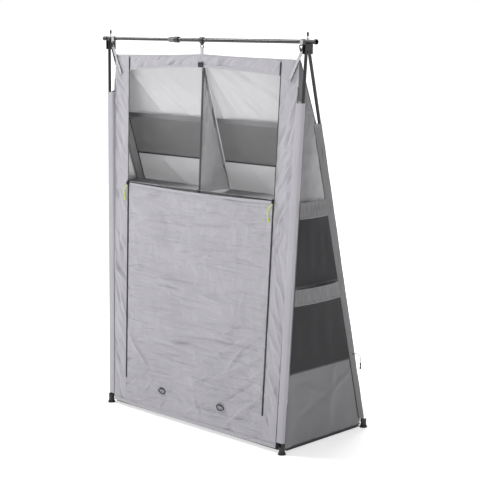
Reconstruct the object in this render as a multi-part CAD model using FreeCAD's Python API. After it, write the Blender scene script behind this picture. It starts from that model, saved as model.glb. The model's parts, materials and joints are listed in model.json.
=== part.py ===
import FreeCAD, Part
import math
import os

# A free-standing fabric storage wardrobe for camping: an A-frame of four poles under a
# telescopic hanging rail, with a fabric body hung below it on three straps.
# Millimetres. X runs along the rail, -Y is the zipped front, +Z is up from the ground.
# The origin is on the ground, midway between the four feet.

V = FreeCAD.Vector
SIDES = {"left": -1, "right": 1}

# ---- driving dimensions ----
rail_height = 1600.0        # ground to the rail's centre line
apex_spacing = 1142.0       # between the two apex pins
foot_spacing = 1035.0       # between the left and the right feet
foot_depth = 500.0          # between the front and the rear feet
front_lean = 75.0           # how far the apex stands behind the front feet
rail_overhang = 44.0        # rail past each pin
rail_diameter = 16.0        # the outer tube
rail_wall = 1.2
inner_tube_diameter = rail_diameter - 3.0
inner_tube_wall = 1.0
tube_overlap = 180.0        # inner tube inside the outer one
lock_x = -158.0             # where the lock joins the two tubes
lock_diameter = 25.0
lock_sleeve_length = 38.0
lock_ring_length = 22.0
leg_diameter = 13.0
leg_wall = 1.0
leg_gap = foot_depth / 125  # between the two legs of one apex
leg_stub = 14.0             # leg above its rivet
pivot_drop = 38.0           # rail centre to the rivets
rivet_diameter = 5.0
pin_diameter = 6.0
pin_rise = 36.0             # pin tip above the rail's centre
pin_cap_length = 15.0
boot_height = 40.0
boot_top = 24.0             # across the boot's crown
boot_base = 34.0            # across its flared foot
cloth = 1.5                 # modelled thickness of every fabric sheet
ridge_z = 1530.0            # top corners of the fabric body
ridge_peak = 12.0           # the centre strap lifts the ridge this much more
ridge_half = 529.0          # half the ridge's length
ridge_depth = 12.0          # ridge seam, front to back
hem_z = 20.0                # bottom edge of the fabric
front_sleeve_top = 1371.0
rear_sleeve_top = 1290.0
sleeve_bottom = 45.0
front_sleeve_width = 39.5
rear_sleeve_width_low = 38.0
rear_sleeve_width_high = 52.0
zip_low = 135.0             # where the two zips end
zip_half_low = 412.0        # half the spacing of the zips, at their lower end
zip_half_high = 441.0       # and at the ridge
zip_width = 8.0
zip_thickness = 2.4
door_top = 989.0            # where the open door is folded over
flap_length = 520.0         # upper half of the door, tucked in behind the lower half
header_side_z = 1470.0      # hem of the header beside the zips
header_centre_z = 1490.0
shelf_z = 978.0
shelf_thickness = 4.0
floor_z = 9.0
floor_thickness = 2.5
pocket_gap = 18.0           # how far a side pocket's mouth stands out
pocket_band = 62.0          # gathered band along a side pocket's mouth
upper_pocket = (660.0, 995.0)
lower_pocket = (318.0, 655.0)
rear_pocket = (1098.0, 1281.0)
rear_pocket_gap = 15.0
rear_hem = 20.0
webbing = 15.0              # strap width
cord_diameter = 2.2         # the pull cords on the sliders
guy_diameter = 3.0

# ---- clearances ----
running = 0.05              # between a rivet and its hole, and round the pins
loose = 0.3                 # between pieces that move on each other
seam = 0.3                  # between two sheets that are sewn side by side
layer = 1.0                 # between fabric layers that slide past each other

# ---- derived places ----
apex_y = -foot_depth / 2 + front_lean
pivot_z = rail_height - pivot_drop
pivot_half = (leg_diameter + leg_gap) / 2
front_pivot_y = apex_y - pivot_half
rear_pivot_y = apex_y + pivot_half
sleeve_half = leg_diameter / 2 + 0.5 + cloth
rail_end = apex_spacing / 2 + rail_overhang


def leg_x(z):
    """Half the spacing of the legs at height z."""
    return foot_spacing / 2 + (apex_spacing - foot_spacing) / 2 * z / pivot_z


def front_y(z):
    """The front legs' axis at height z."""
    return -foot_depth / 2 + (front_pivot_y + foot_depth / 2) * z / pivot_z


def rear_y(z):
    """The rear legs' axis at height z."""
    return foot_depth / 2 + (rear_pivot_y - foot_depth / 2) * z / pivot_z


def between(z, z0, v0, z1, v1):
    """The value at z on the line from v0 at z0 to v1 at z1."""
    return v0 + (v1 - v0) * (z - z0) / (z1 - z0)


def panel_y(z):
    """Outer face of the front fabric: on the sleeves at the hem, under the rail at the ridge."""
    return between(z, hem_z, front_y(hem_z) - sleeve_half, ridge_z, apex_y - ridge_depth / 2)


def back_y(z):
    """Inner face of the rear fabric."""
    low = rear_y(hem_z) + sleeve_half - cloth
    return between(z, hem_z, low, ridge_z, apex_y + ridge_depth / 2 - cloth)


def zip_x(z):
    """Half the spacing of the zips at height z."""
    return between(z, zip_low, zip_half_low, ridge_z, zip_half_high)


def stile_x(z):
    """Inner edge of the front sleeves, where the corner piping runs."""
    return leg_x(min(z, front_sleeve_top)) + sleeve_half - front_sleeve_width


def rear_sleeve_width(z):
    return between(z, sleeve_bottom, rear_sleeve_width_low, rear_sleeve_top, rear_sleeve_width_high)


def save(name, *shapes):
    """Write one node, from one solid or from several that don't touch."""
    shape = shapes[0] if len(shapes) == 1 else Part.makeCompound(list(shapes))
    shape.exportStep(f"parts/{name}.step")
    print(f"{name}: {len(shape.Solids)} solid, {shape.Volume / 1000:.1f} cm3, valid {shape.isValid()}")


def prism(points, direction):
    """The flat outline through points, thickened by a vector."""
    return Part.Face(Part.makePolygon([*points, points[0]])).extrude(direction)


def block(x0, x1, y0, y1, z0, z1):
    return Part.makeBox(x1 - x0, y1 - y0, z1 - z0, V(x0, y0, z0))


def rod(start, end, radius):
    """A solid cylinder from one point to another."""
    return Part.makeCylinder(radius, (end - start).Length, start, end - start)


def tube(start, end, radius, wall):
    """A round tube, with its bore cut past both ends."""
    along = (end - start).normalize()
    return rod(start, end, radius).cut(rod(start - along, end + along, radius - wall))


def front_sheet(outline, inset=0.0, thickness=cloth):
    """A sheet in the front fabric's plane, from (x, z) points; inset counts towards the rear."""
    return prism([V(x, panel_y(z) + inset, z) for x, z in outline], V(0, thickness, 0))


def rear_sheet(outline, inset=0.0, thickness=cloth):
    """A sheet in the rear fabric's plane; inset counts towards the front."""
    return prism([V(x, back_y(z) - inset, z) for x, z in outline], V(0, thickness, 0))


def flip(points, side):
    """Outline points with their x on the given side."""
    return [(side * x, z) for x, z in points]


# ---- the rail and its lock ----
rail_radius = {"left": inner_tube_diameter / 2, "right": rail_diameter / 2}


def on_rail(x):
    return V(x, apex_y, rail_height)


def pin_hole(side):
    """The cross hole for an apex pin."""
    x = SIDES[side] * apex_spacing / 2
    foot = V(x, apex_y, rail_height - rail_diameter)
    return rod(foot, V(x, apex_y, rail_height + rail_diameter), pin_diameter / 2 + running)


def rail():
    inner_end = lock_x + tube_overlap
    outer = tube(on_rail(lock_x), on_rail(rail_end), rail_radius["right"], rail_wall)
    save("rail_outer_tube", outer.cut(pin_hole("right")))
    inner = tube(on_rail(-rail_end), on_rail(inner_end), rail_radius["left"], inner_tube_wall)
    save("rail_inner_tube", inner.cut(pin_hole("left")))


def rail_lock():
    """A ring fixed on the outer tube's end, and the twist sleeve that grips the inner tube."""
    lock_radius = lock_diameter / 2
    ring_end = lock_x + lock_ring_length
    bore = rod(on_rail(lock_x - 1), on_rail(ring_end + 1), rail_diameter / 2 + running)
    ring = rod(on_rail(lock_x), on_rail(ring_end), lock_radius)
    ring = ring.makeChamfer(2.0, [e for e in ring.Edges if e.BoundBox.XMin > ring_end - 0.1])
    save("rail_lock_ring", ring.cut(bore))
    start, end = lock_x - loose - lock_sleeve_length, lock_x - loose
    taper = 10.0
    sleeve = rod(on_rail(start + taper), on_rail(end), lock_radius - 1)
    neck = Part.makeCone(inner_tube_diameter / 2 + 3, lock_radius - 1, taper, on_rail(start), V(1, 0, 0))
    hole = rod(on_rail(start - 1), on_rail(end + 1), inner_tube_diameter / 2 + loose)
    save("rail_lock_sleeve", sleeve.fuse(neck).removeSplitter().cut(hole))


def rail_ends():
    """A domed cap on the thin end and an open ring on the thick end."""
    cap_radius, cap_length, dome = inner_tube_diameter / 2 + 2.5, 24.0, 4.0
    cap = rod(on_rail(-rail_end - dome), on_rail(-rail_end + cap_length), cap_radius)
    cap = cap.makeFillet(dome, [e for e in cap.Edges if e.BoundBox.XMax < -rail_end])
    hole = rod(on_rail(-rail_end), on_rail(-rail_end + cap_length + 1), inner_tube_diameter / 2 + running)
    save("rail_cap", cap.cut(hole))
    ring_length = 7.0
    ring = tube(on_rail(rail_end - ring_length), on_rail(rail_end + 1), rail_diameter / 2 + 2.2,
                2.2 - running)
    save("rail_end_ring", ring)


# ---- the apexes ----
cheek = 1.6                 # sheet of the U bracket
cheek_reach = 20.0          # bracket, in front of and behind the rail
cheek_gap = leg_diameter / 2 + 0.6
web_drop = 3.0


def apex_bracket(side):
    """A U of sheet metal under the rail; the legs hang between its cheeks."""
    x = SIDES[side] * apex_spacing / 2
    top = rail_height - rail_radius[side] - running
    web = block(x - cheek_gap - cheek, x + cheek_gap + cheek, apex_y - cheek_reach,
                apex_y + cheek_reach, top - web_drop, top)
    low = pivot_z - rivet_diameter - 3
    cheeks = [block(x + s * cheek_gap - (cheek if s < 0 else 0), x + s * cheek_gap + (cheek if s > 0 else 0),
                    apex_y - cheek_reach, apex_y + cheek_reach, low, top) for s in (-1, 1)]
    bracket = web.multiFuse(cheeks).removeSplitter()
    for y in (front_pivot_y, rear_pivot_y):
        across = V(cheek_gap + cheek + 1, 0, 0)
        centre = V(x, y, pivot_z)
        bracket = bracket.cut(rod(centre - across, centre + across, rivet_diameter / 2 + running))
    return bracket.cut(pin_hole(side)).cut(
        rod(V(x, apex_y, low), V(x, apex_y, rail_height), pin_diameter / 2 + running))


def leg_rivet(side, y):
    """A rivet through both cheeks and one leg, with a round head on each side."""
    x = SIDES[side] * apex_spacing / 2
    reach, head = cheek_gap + cheek + loose, 2.0
    shank = rod(V(x - reach, y, pivot_z), V(x + reach, y, pivot_z), rivet_diameter / 2)
    heads = [rod(V(x + s * reach, y, pivot_z), V(x + s * (reach + head), y, pivot_z), rivet_diameter * 0.8)
             for s in (-1, 1)]
    return shank.multiFuse(heads).removeSplitter()


def apex_pin(side):
    """A steel pin up through the bracket's web and the rail."""
    x = SIDES[side] * apex_spacing / 2
    seat = rail_height - rail_radius[side] - running - web_drop
    head = 2.0
    pin = rod(V(x, apex_y, seat), V(x, apex_y, rail_height + pin_rise - 3), pin_diameter / 2)
    return pin.fuse(rod(V(x, apex_y, seat - head), V(x, apex_y, seat), pin_diameter * 0.8)).removeSplitter()


def pin_cap(side):
    """The dark cap on a pin's tip."""
    x = SIDES[side] * apex_spacing / 2
    tip = rail_height + pin_rise
    cap = rod(V(x, apex_y, tip - pin_cap_length), V(x, apex_y, tip), pin_diameter / 2 + 1.2)
    cap = cap.makeFillet(1.5, [e for e in cap.Edges if e.BoundBox.ZMin > tip - 0.1])
    hole = rod(V(x, apex_y, tip - pin_cap_length - 1), V(x, apex_y, tip - 3 + running),
               pin_diameter / 2 + running)
    return cap.cut(hole)


def apexes():
    save("apex_brackets", *[apex_bracket(side) for side in SIDES])
    save("leg_rivets", *[leg_rivet(side, y) for side in SIDES for y in (front_pivot_y, rear_pivot_y)])
    save("apex_pins", *[apex_pin(side) for side in SIDES])
    save("pin_caps", *[pin_cap(side) for side in SIDES])


# ---- legs, boots and sleeves ----
boot_floor = 6.0            # boot under the end of its leg


def leg(side, axis_y):
    """A round leg from its boot to just above its rivet, drilled for the rivet."""
    s = SIDES[side]

    def at(z):
        return V(s * leg_x(z), axis_y(z), z)
    body = tube(at(boot_floor + 2), at(pivot_z + leg_stub), leg_diameter / 2, leg_wall)
    reach = V(leg_diameter, 0, 0)
    centre = V(s * apex_spacing / 2, axis_y(pivot_z), pivot_z)
    return body.cut(rod(centre - reach, centre + reach, rivet_diameter / 2 + running))


def boot(side, axis_y, facing):
    """A moulded boot: a flared foot with a small tongue, and a notched crown round the leg."""
    s = SIDES[side]
    x, y = s * leg_x(0), axis_y(0)
    base, crown, flare = boot_base / 2, boot_top / 2, 12.0
    foot = Part.makeCone(base, crown, flare, V(x, y, 0), V(0, 0, 1))
    body = foot.fuse(rod(V(x, y, flare), V(x, y, boot_height), crown)).removeSplitter()
    tongue_y = (y, y + facing * base)
    tongue = block(x - 7, x + 7, min(tongue_y), max(tongue_y), 0, 3)
    body = body.fuse(tongue).removeSplitter()
    notch = [V(x - crown, y - crown - 1, boot_height + 1), V(x + crown, y - crown - 1, boot_height + 1),
             V(x, y - crown - 1, boot_height - 12)]
    body = body.cut(prism(notch, V(0, 2 * crown + 2, 0)))
    low, high = V(s * leg_x(boot_floor), axis_y(boot_floor), boot_floor), boot_height + 20
    bore = rod(low, V(s * leg_x(high), axis_y(high), high), leg_diameter / 2 + running * 4)
    return body.cut(bore)


def loft_sleeve(side, low, high, corners):
    """A flat fabric tube, from the rectangles that corners(z, inset) gives at its two ends."""
    def solid(z0, z1, inset):
        wires = []
        for z in (z0, z1):
            x0, x1, y0, y1 = corners(z, inset)
            ring = [V(SIDES[side] * x, y, z) for x, y in ((x0, y0), (x1, y0), (x1, y1), (x0, y1))]
            wires.append(Part.makePolygon([*ring, ring[0]]))
        return Part.makeLoft(wires, True, True)
    return solid(low, high, 0).cut(solid(low - 1, high + 1, cloth))


def front_sleeve(side):
    def corners(z, inset):
        outer, y = leg_x(z) + sleeve_half, front_y(z)
        return (outer - front_sleeve_width + inset, outer - inset,
                y - sleeve_half + inset, y + sleeve_half - inset)
    return loft_sleeve(side, sleeve_bottom, front_sleeve_top, corners)


def rear_sleeve(side):
    def corners(z, inset):
        x, rear = leg_x(z), rear_y(z) + sleeve_half
        return (x - sleeve_half + inset, x + sleeve_half - inset,
                rear - rear_sleeve_width(z) + inset, rear - inset)
    return loft_sleeve(side, sleeve_bottom, rear_sleeve_top, corners)


def legs():
    for side in SIDES:
        save(f"front_leg_{side}", leg(side, front_y))
        save(f"rear_leg_{side}", leg(side, rear_y))
        save(f"front_sleeve_{side}", front_sleeve(side))
        save(f"rear_sleeve_{side}", rear_sleeve(side))
    save("front_boots", *[boot(side, front_y, -1) for side in SIDES])
    save("rear_boots", *[boot(side, rear_y, 1) for side in SIDES])


# ---- the front fabric ----
def stile(side):
    """The fixed strip of front fabric between a zip and the front sleeve."""
    gap = zip_width / 2 + seam
    outline = [(zip_x(zip_low) + gap, hem_z), (stile_x(hem_z) - seam, hem_z),
               (stile_x(front_sleeve_top) - seam, front_sleeve_top), (ridge_half, ridge_z),
               (zip_x(ridge_z) + gap, ridge_z), (zip_x(zip_low) + gap, zip_low)]
    return front_sheet(flip(outline, SIDES[side]))


def header():
    """The band above the door, lifted in the middle by the centre strap."""
    gap = zip_width / 2 + loose
    high, low = zip_x(ridge_z) - gap, zip_x(header_side_z) - gap
    outline = [(-low, header_side_z), (0, header_centre_z), (low, header_side_z), (high, ridge_z),
               (0, ridge_z + ridge_peak), (-high, ridge_z)]
    return front_sheet(outline)


def base_panel():
    """Front fabric under the ends of the zips."""
    half = zip_x(zip_low) + zip_width / 2
    return front_sheet([(-half, hem_z), (half, hem_z), (half, zip_low - loose), (-half, zip_low - loose)])


def ridge_seam():
    """The bound seam along the top, where the front and the rear fabric meet."""
    y = apex_y - ridge_depth / 2
    low = ridge_z + seam
    high = low + 4
    peak = high + ridge_peak
    foot = low + ridge_peak
    outline = [(-ridge_half, low), (0, foot), (ridge_half, low), (ridge_half, high), (0, peak),
               (-ridge_half, high)]
    return prism([V(x, y + cloth + seam, z) for x, z in outline], V(0, ridge_depth / 2, 0))


def front_fabric():
    for side in SIDES:
        save(f"front_stile_{side}", stile(side))
    save("header_panel", header())
    save("base_panel", base_panel())
    save("ridge_seam", ridge_seam())
    tab_width, tab_height, tab_thickness = 30.0, 20.0, 2.0
    outline = [(-tab_width / 2, header_centre_z + 1), (tab_width / 2, header_centre_z + 1),
               (tab_width / 2, header_centre_z + 1 + tab_height),
               (-tab_width / 2, header_centre_z + 1 + tab_height)]
    save("header_tab", front_sheet(outline, -tab_thickness - seam, tab_thickness))
    save("door_ties", *[door_tie(s) for s in SIDES.values()])


def door_tie(s):
    """An elastic loop with its toggle, on the base panel; it holds the rolled-up door."""
    x, z, half_width, half_height, stock = s * 175.0, zip_low - 17.0, 22.0, 13.0, 3.0
    outer = Part.Wire(Part.Ellipse(V(0, 0, 0), half_width, half_height).toShape())
    inner = Part.Wire(Part.Ellipse(V(0, 0, 0), half_width - stock, half_height - stock).toShape())
    loop = Part.Face(outer).extrude(V(0, 0, stock)).cut(Part.Face(inner).extrude(V(0, 0, stock)))
    loop.rotate(V(0, 0, 0), V(1, 0, 0), 90)
    face = panel_y(z - half_height) - loose
    loop.translate(V(x, face, z))
    y = face - stock / 2
    toggle_length, toggle_radius = 26.0, 3.4
    toggle = rod(V(x - toggle_length / 2, y - 2, z + half_height), V(x + toggle_length / 2, y - 2, z + half_height),
                 toggle_radius)
    return loop.fuse(toggle).removeSplitter()


# ---- the door and its zips ----
def door():
    """The lower half of the door, zipped up on both sides."""
    gap = zip_width / 2 + loose
    outline = [(-zip_x(zip_low) + gap, zip_low + loose), (zip_x(zip_low) - gap, zip_low + loose),
               (zip_x(door_top) - gap, door_top), (-zip_x(door_top) + gap, door_top)]
    save("door_panel", front_sheet(outline))
    low = door_top - flap_length
    half = zip_x(low) - zip_width / 2 - 2 * loose
    top = zip_x(door_top) - zip_width / 2 - 2 * loose
    outline = [(-half, low), (half, low), (top, door_top), (-top, door_top)]
    save("door_flap", front_sheet(outline, cloth + layer))


def zip_direction(side):
    """A unit vector up along a zip."""
    rise = ridge_z - zip_low
    run = V(SIDES[side] * (zip_half_high - zip_half_low), panel_y(ridge_z) - panel_y(zip_low), rise)
    return run.normalize()


def zip_chain(side):
    half = zip_width / 2
    outline = [(zip_x(zip_low) - half, zip_low), (zip_x(zip_low) + half, zip_low),
               (zip_x(ridge_z) + half, ridge_z), (zip_x(ridge_z) - half, ridge_z)]
    return front_sheet(flip(outline, SIDES[side]), cloth - zip_thickness, zip_thickness)


slider_z = door_top
slider_height = 16.0
slider_width = 10.0
slider_thickness = 3.2
pull_length = 10.0
pull_width = 6.0
pull_thickness = 1.8
pull_cheek = 2.0            # how far a pull's cheeks reach round the slider's eye


def slider_front(z):
    """Front face of a slider's plate."""
    return panel_y(z) + cloth - zip_thickness - loose - slider_thickness


def zip_slider(side):
    """The slider's front plate with the eye that its pull hangs from."""
    x, y = SIDES[side] * zip_x(slider_z), slider_front(slider_z)
    half, neck, z0 = slider_width / 2, 3.0, slider_z - slider_height / 2
    widths = [(neck, z0), (half, z0 + slider_height * 0.6), (half, z0 + slider_height)]
    corners = [(x + w, z) for w, z in widths] + [(x - w, z) for w, z in reversed(widths)]
    plate = prism([V(a, slider_front(z), z) for a, z in corners], V(0, slider_thickness, 0))
    eye_post = block(x - 1.6, x + 1.6, y - 4.6, y + 1, slider_z - 3, slider_z + 3)
    eye = rod(V(x - 5, y - 3, slider_z), V(x + 5, y - 3, slider_z), 1.2)
    return plate.multiFuse([eye_post, eye]).removeSplitter()


def pull_pivot(side):
    return V(SIDES[side] * zip_x(slider_z), slider_front(slider_z) - 3, slider_z)


def zip_pull(side):
    """Two cheeks round the slider's eye, joined into a flat tag that hangs down."""
    c = pull_pivot(side)
    cheeks = []
    for s in (-1, 1):
        x0, x1 = sorted((c.x + s * 2.0, c.x + s * pull_width / 2))
        cheeks.append(block(x0, x1, c.y - pull_cheek, c.y + pull_cheek, c.z - 5, c.z + pull_cheek))
    tag = block(c.x - pull_width / 2, c.x + pull_width / 2, c.y - pull_thickness / 2,
                c.y + pull_thickness / 2, c.z - pull_length, c.z - 4)
    body = tag.multiFuse(cheeks).removeSplitter()
    bore = rod(V(c.x - pull_width, c.y, c.z), V(c.x + pull_width, c.y, c.z), 1.2 + 2 * running)
    eyelet = rod(V(c.x, c.y - 3, c.z - pull_length + 2.6), V(c.x, c.y + 3, c.z - pull_length + 2.6), 1.3)
    return body.cut(bore).cut(eyelet)


# Routes of the pull cords below each pull, as (x, y, z) from the pull's lower end.
pull_routes = {
    "left": [(0, 0, -1), (-9, -2.5, -8), (-18, -3, -19), (-20, -2.5, -34), (-15, -2, -48), (-16, -1.5, -62)],
    "right": [(0, 0, -1), (-11, -2.5, -9), (-20, -3, -22), (-26, -2.5, -38), (-24, -2, -54), (-18, -1.5, -68)],
}


def cord(points, diameter):
    """A round tube along straight runs joined by arcs as large as their runs allow."""
    runs = [(b - a).Length for a, b in zip(points, points[1:])]
    edges, at = [], points[0]
    for i in range(1, len(points) - 1):
        into = (points[i] - points[i - 1]).normalize()
        out = (points[i + 1] - points[i]).normalize()
        turn = into.getAngle(out)
        set_back = 0.45 * min(runs[i - 1], runs[i])
        start, end = points[i] - into * set_back, points[i] + out * set_back
        radius = set_back / math.tan(turn / 2)
        bisector = (out - into).normalize()
        centre = points[i] + bisector * (radius / math.cos(turn / 2))
        middle = centre - bisector * radius
        edges += [Part.LineSegment(at, start).toShape(), Part.Arc(start, middle, end).toShape()]
        at = end
        print(f"  cord arc radius {radius:.1f} mm, {radius / diameter:.1f} diameters")
    edges.append(Part.LineSegment(at, points[-1]).toShape())
    path = Part.Wire(edges)
    first = (points[1] - points[0]).normalize()
    section = Part.Wire(Part.Circle(points[0], first, diameter / 2).toShape())
    solid = path.makePipeShell([section], True, True)
    expected = math.pi * diameter ** 2 / 4 * path.Length
    print(f"  cord {path.Length:.0f} mm long, volume over section times length {solid.Volume / expected:.3f}")
    return solid


def door_zips():
    for side in SIDES:
        save(f"zip_{side}", zip_chain(side))
        save(f"zip_slider_{side}", zip_slider(side))
        save(f"zip_pull_{side}", zip_pull(side))
        end = pull_pivot(side) - V(0, 0, pull_length)
        save(f"pull_cord_{side}", cord([end + V(*p) for p in pull_routes[side]], cord_diameter))


# ---- the rest of the fabric body ----
inner_front = cloth + layer + cloth + layer     # from the front fabric's face to what is inside


def rear_panel():
    edge = sleeve_half + seam
    low, mid = leg_x(sleeve_bottom) - edge, leg_x(rear_sleeve_top) - edge
    hem, top = leg_x(hem_z) - boot_base / 2 - 1, ridge_z - 3
    half = [(hem, hem_z), (hem, sleeve_bottom), (low, sleeve_bottom), (mid, rear_sleeve_top), (ridge_half, top)]
    return rear_sheet(half + [(-x, z) for x, z in reversed(half)])


def side_front(z):
    """Front edge of a side panel, just behind the front sleeve."""
    return front_y(z) + sleeve_half + seam


def side_rear(z):
    """Rear edge of a side panel, just in front of the rear sleeve."""
    return rear_y(z) + sleeve_half - rear_sleeve_width(z) - loose


def side_panel(side):
    """The side: flat up to the sleeves, then folded in to the ridge's corner."""
    s = SIDES[side]
    inner = sleeve_half - cloth

    def at(y, z):
        return V(s * (leg_x(z) + inner), y, z)
    front_low, rear_low = at(side_front(hem_z), hem_z), at(side_rear(hem_z), hem_z)
    rear_high = at(side_rear(rear_sleeve_top), rear_sleeve_top)
    front_high = at(side_front(front_sleeve_top), front_sleeve_top)
    corner = V(s * ridge_half, apex_y, ridge_z)
    out = V(s * cloth, 0, 0)
    return prism([front_low, rear_low, rear_high, front_high], out).fuse(
        prism([front_high, rear_high, corner], out))


def level_sheet(z, thickness, front_room, rear_room):
    """A level sheet across the fabric body. Each room is (x, y), cut out beside the leg's axis."""
    x, front, rear = leg_x(z), front_y(z), rear_y(z + thickness)
    side = x + sleeve_half - cloth - loose
    half = [(x - front_room[0], panel_y(z) + inner_front), (x - front_room[0], front + front_room[1]),
            (side, front + front_room[1]), (side, rear - rear_room[1]),
            (x - rear_room[0], rear - rear_room[1]), (x - rear_room[0], back_y(z + thickness) - loose)]
    outline = half + [(-a, b) for a, b in reversed(half)]
    return prism([V(a, b, z) for a, b in outline], V(0, 0, thickness))


def divider():
    """The upright between the two upper compartments, and the bound tape on its front edge."""
    low, high = shelf_z + shelf_thickness + loose, ridge_z - 12
    tape_width, tape = 12.5, 1.5

    def front_edge(z, more=0.0):
        return panel_y(z) + inner_front + more
    outline = [V(-cloth / 2, front_edge(low, tape), low), V(-cloth / 2, back_y(low) - layer, low),
               V(-cloth / 2, back_y(high) - layer, high), V(-cloth / 2, front_edge(high, tape), high)]
    save("divider", prism(outline, V(cloth, 0, 0)))
    x = tape_width / 2
    strip = prism([V(-x, front_edge(low), low), V(x, front_edge(low), low),
                   V(x, front_edge(header_centre_z), header_centre_z),
                   V(-x, front_edge(header_centre_z), header_centre_z)], V(0, tape - 0.1, 0))
    save("divider_tape", strip)


def side_pocket(side, low, high):
    """A pocket's front sheet on a side panel: sewn on along its foot, standing out at its mouth."""
    s = SIDES[side]

    def sheet(z0, z1):
        ring = []
        for z, edge in ((z0, side_front), (z0, side_rear), (z1, side_rear), (z1, side_front)):
            x = leg_x(z) + sleeve_half + between(z, low, seam, high, pocket_gap)
            ring.append(V(s * x, edge(z), z))
        return prism(ring, V(s * cloth, 0, 0))
    split = high - pocket_band
    return sheet(low, split - seam), sheet(split, high)


def rear_mesh(side):
    """A mesh pocket on the inside of the rear panel, with a hem along its mouth."""
    s = SIDES[side]
    low, high = rear_pocket
    inner = 6.0

    def sheet(z0, z1):
        ring = []
        for z, outer in ((z0, False), (z0, True), (z1, True), (z1, False)):
            x = leg_x(z) - sleeve_half - 6 if outer else inner
            gap = between(z, low, seam, high, rear_pocket_gap)
            ring.append(V(s * x, back_y(z) - gap - cloth, z))
        return prism(ring, V(0, cloth, 0))
    split = high - rear_hem
    return sheet(low, split - seam), sheet(split, high)


def fabric_body():
    save("rear_panel", rear_panel())
    hems = []
    for side in SIDES:
        save(f"side_panel_{side}", side_panel(side))
        upper, lower = side_pocket(side, *upper_pocket), side_pocket(side, *lower_pocket)
        save(f"side_pockets_{side}", upper[0], lower[0])
        save(f"side_pocket_bands_{side}", upper[1], lower[1])
        mesh, hem = rear_mesh(side)
        save(f"rear_pocket_{side}", mesh)
        hems.append(hem)
    save("rear_pocket_hems", *hems)
    divider()
    front_room = (front_sleeve_width - sleeve_half + seam, sleeve_half + seam)
    rear_room = (sleeve_half + loose, rear_sleeve_width(shelf_z) - sleeve_half + loose)
    save("shelf_panel", level_sheet(shelf_z, shelf_thickness, front_room, rear_room))
    boot_room = (boot_base / 2 + 2, boot_base / 2 + 2)
    save("floor_panel", level_sheet(floor_z, floor_thickness, boot_room, boot_room))


# ---- the straps that hang the fabric on the rail ----
strap_x = 549.0             # where each corner strap crosses the rail
buckle_height = 26.0
buckle_width = 22.0
buckle_stock = 4.0
buckle_top = 1589.0


def corner_webbing(side):
    """Webbing from the pin's eyelet, over the rail and down its front."""
    s, r = SIDES[side], rail_radius[side] + loose
    x, half = s * strap_x, webbing / 2
    pin_x = s * apex_spacing / 2
    top = rail_height + r
    tab = block(min(x, pin_x) - half, max(x, pin_x) + half, apex_y - half, apex_y + half, top, top + cloth)
    ring = Part.makeCylinder(r + cloth, webbing, V(x - half, apex_y, rail_height), V(1, 0, 0)).cut(
        Part.makeCylinder(r, webbing, V(x - half, apex_y, rail_height), V(1, 0, 0)))
    front_top = block(x - half, x + half, apex_y - r - cloth, apex_y, rail_height, top + cloth)
    drop = block(x - half, x + half, apex_y - r - cloth, apex_y - r, buckle_top + 0.2, rail_height)
    body = ring.common(front_top).multiFuse([tab, drop]).removeSplitter()
    return body.cut(rod(V(pin_x, apex_y, top - 1), V(pin_x, apex_y, top + cloth + 1), pin_diameter / 2 + loose))


def triangle_buckle(side):
    """A flat three-sided ring, point down."""
    x, y = SIDES[side] * strap_x, apex_y - rail_radius[side] - loose - cloth
    half, low = buckle_width / 2, buckle_top - buckle_height

    def ring(k):
        return [V(x - half + k, y, buckle_top - k), V(x + half - k, y, buckle_top - k),
                V(x + k / 2, y, low + 2 * k), V(x - k / 2, y, low + 2 * k)]
    outer = [V(x - half, y, buckle_top), V(x + half, y, buckle_top), V(x + 4, y, low), V(x - 4, y, low)]
    return prism(outer, V(0, 2.4, 0)).cut(prism(ring(buckle_stock), V(0, 2.4, 0)))


def corner_strap(side):
    """Webbing from the buckle to the fabric's corner and on down the front, sewn flat."""
    s, half = SIDES[side], webbing / 2
    top_z, foot_z, foot_x = buckle_top - buckle_height - 0.5, 1452.0, 491.0
    slope = (strap_x - foot_x) / (top_z - foot_z)
    across = half * math.hypot(1, slope)
    outline = [(foot_x - across, foot_z), (foot_x + across, foot_z), (strap_x + across, top_z),
               (strap_x - across, top_z)]
    return front_sheet(flip(outline, s), -seam - cloth)


def centre_hanger():
    """A clip over the rail, a ring below it and a short strap to the middle of the ridge."""
    r, wall, half = rail_radius["right"] + loose, 3.2, 10.0
    clip = Part.makeCylinder(r + wall, 2 * half, V(-half, apex_y, rail_height), V(1, 0, 0))
    clip = clip.cut(Part.makeCylinder(r, 2 * half, V(-half, apex_y, rail_height), V(1, 0, 0)))
    mouth = block(-half, half, apex_y, apex_y + 2 * r, rail_height - r * 0.9, rail_height + r * 0.2)
    foot_low = rail_height - r - wall - 7
    foot = block(-7, 7, apex_y - 4, apex_y + 4, foot_low, rail_height - r - 0.5)
    save("centre_clip", clip.cut(mouth).fuse(foot).removeSplitter())
    ring_top, ring_low, ring_half = foot_low - 0.2, foot_low - 14.0, 11.0
    outer = block(-ring_half, ring_half, apex_y - 1.5, apex_y + 1.5, ring_low, ring_top)
    window = block(-ring_half + 3, ring_half - 3, apex_y - 2, apex_y + 2, ring_low + 3, ring_top - 3)
    save("centre_ring", outer.cut(window))
    strap_low = ridge_z + ridge_peak + 5
    strap_half = webbing / 2 - 0.5
    save("centre_strap", block(-strap_half, strap_half, apex_y - cloth / 2, apex_y + cloth / 2,
                               strap_low, ring_low - 0.2))


# Route of the guy cord behind the right rear leg, as (x, y, z) from where it is sewn on.
guy_anchor_z = 334.0
guy_route = [(0, 0, 0), (9, 9, 4), (12, 24, 0), (10, 38, -12), (6, 45, -28), (3, 48, -44)]


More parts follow.
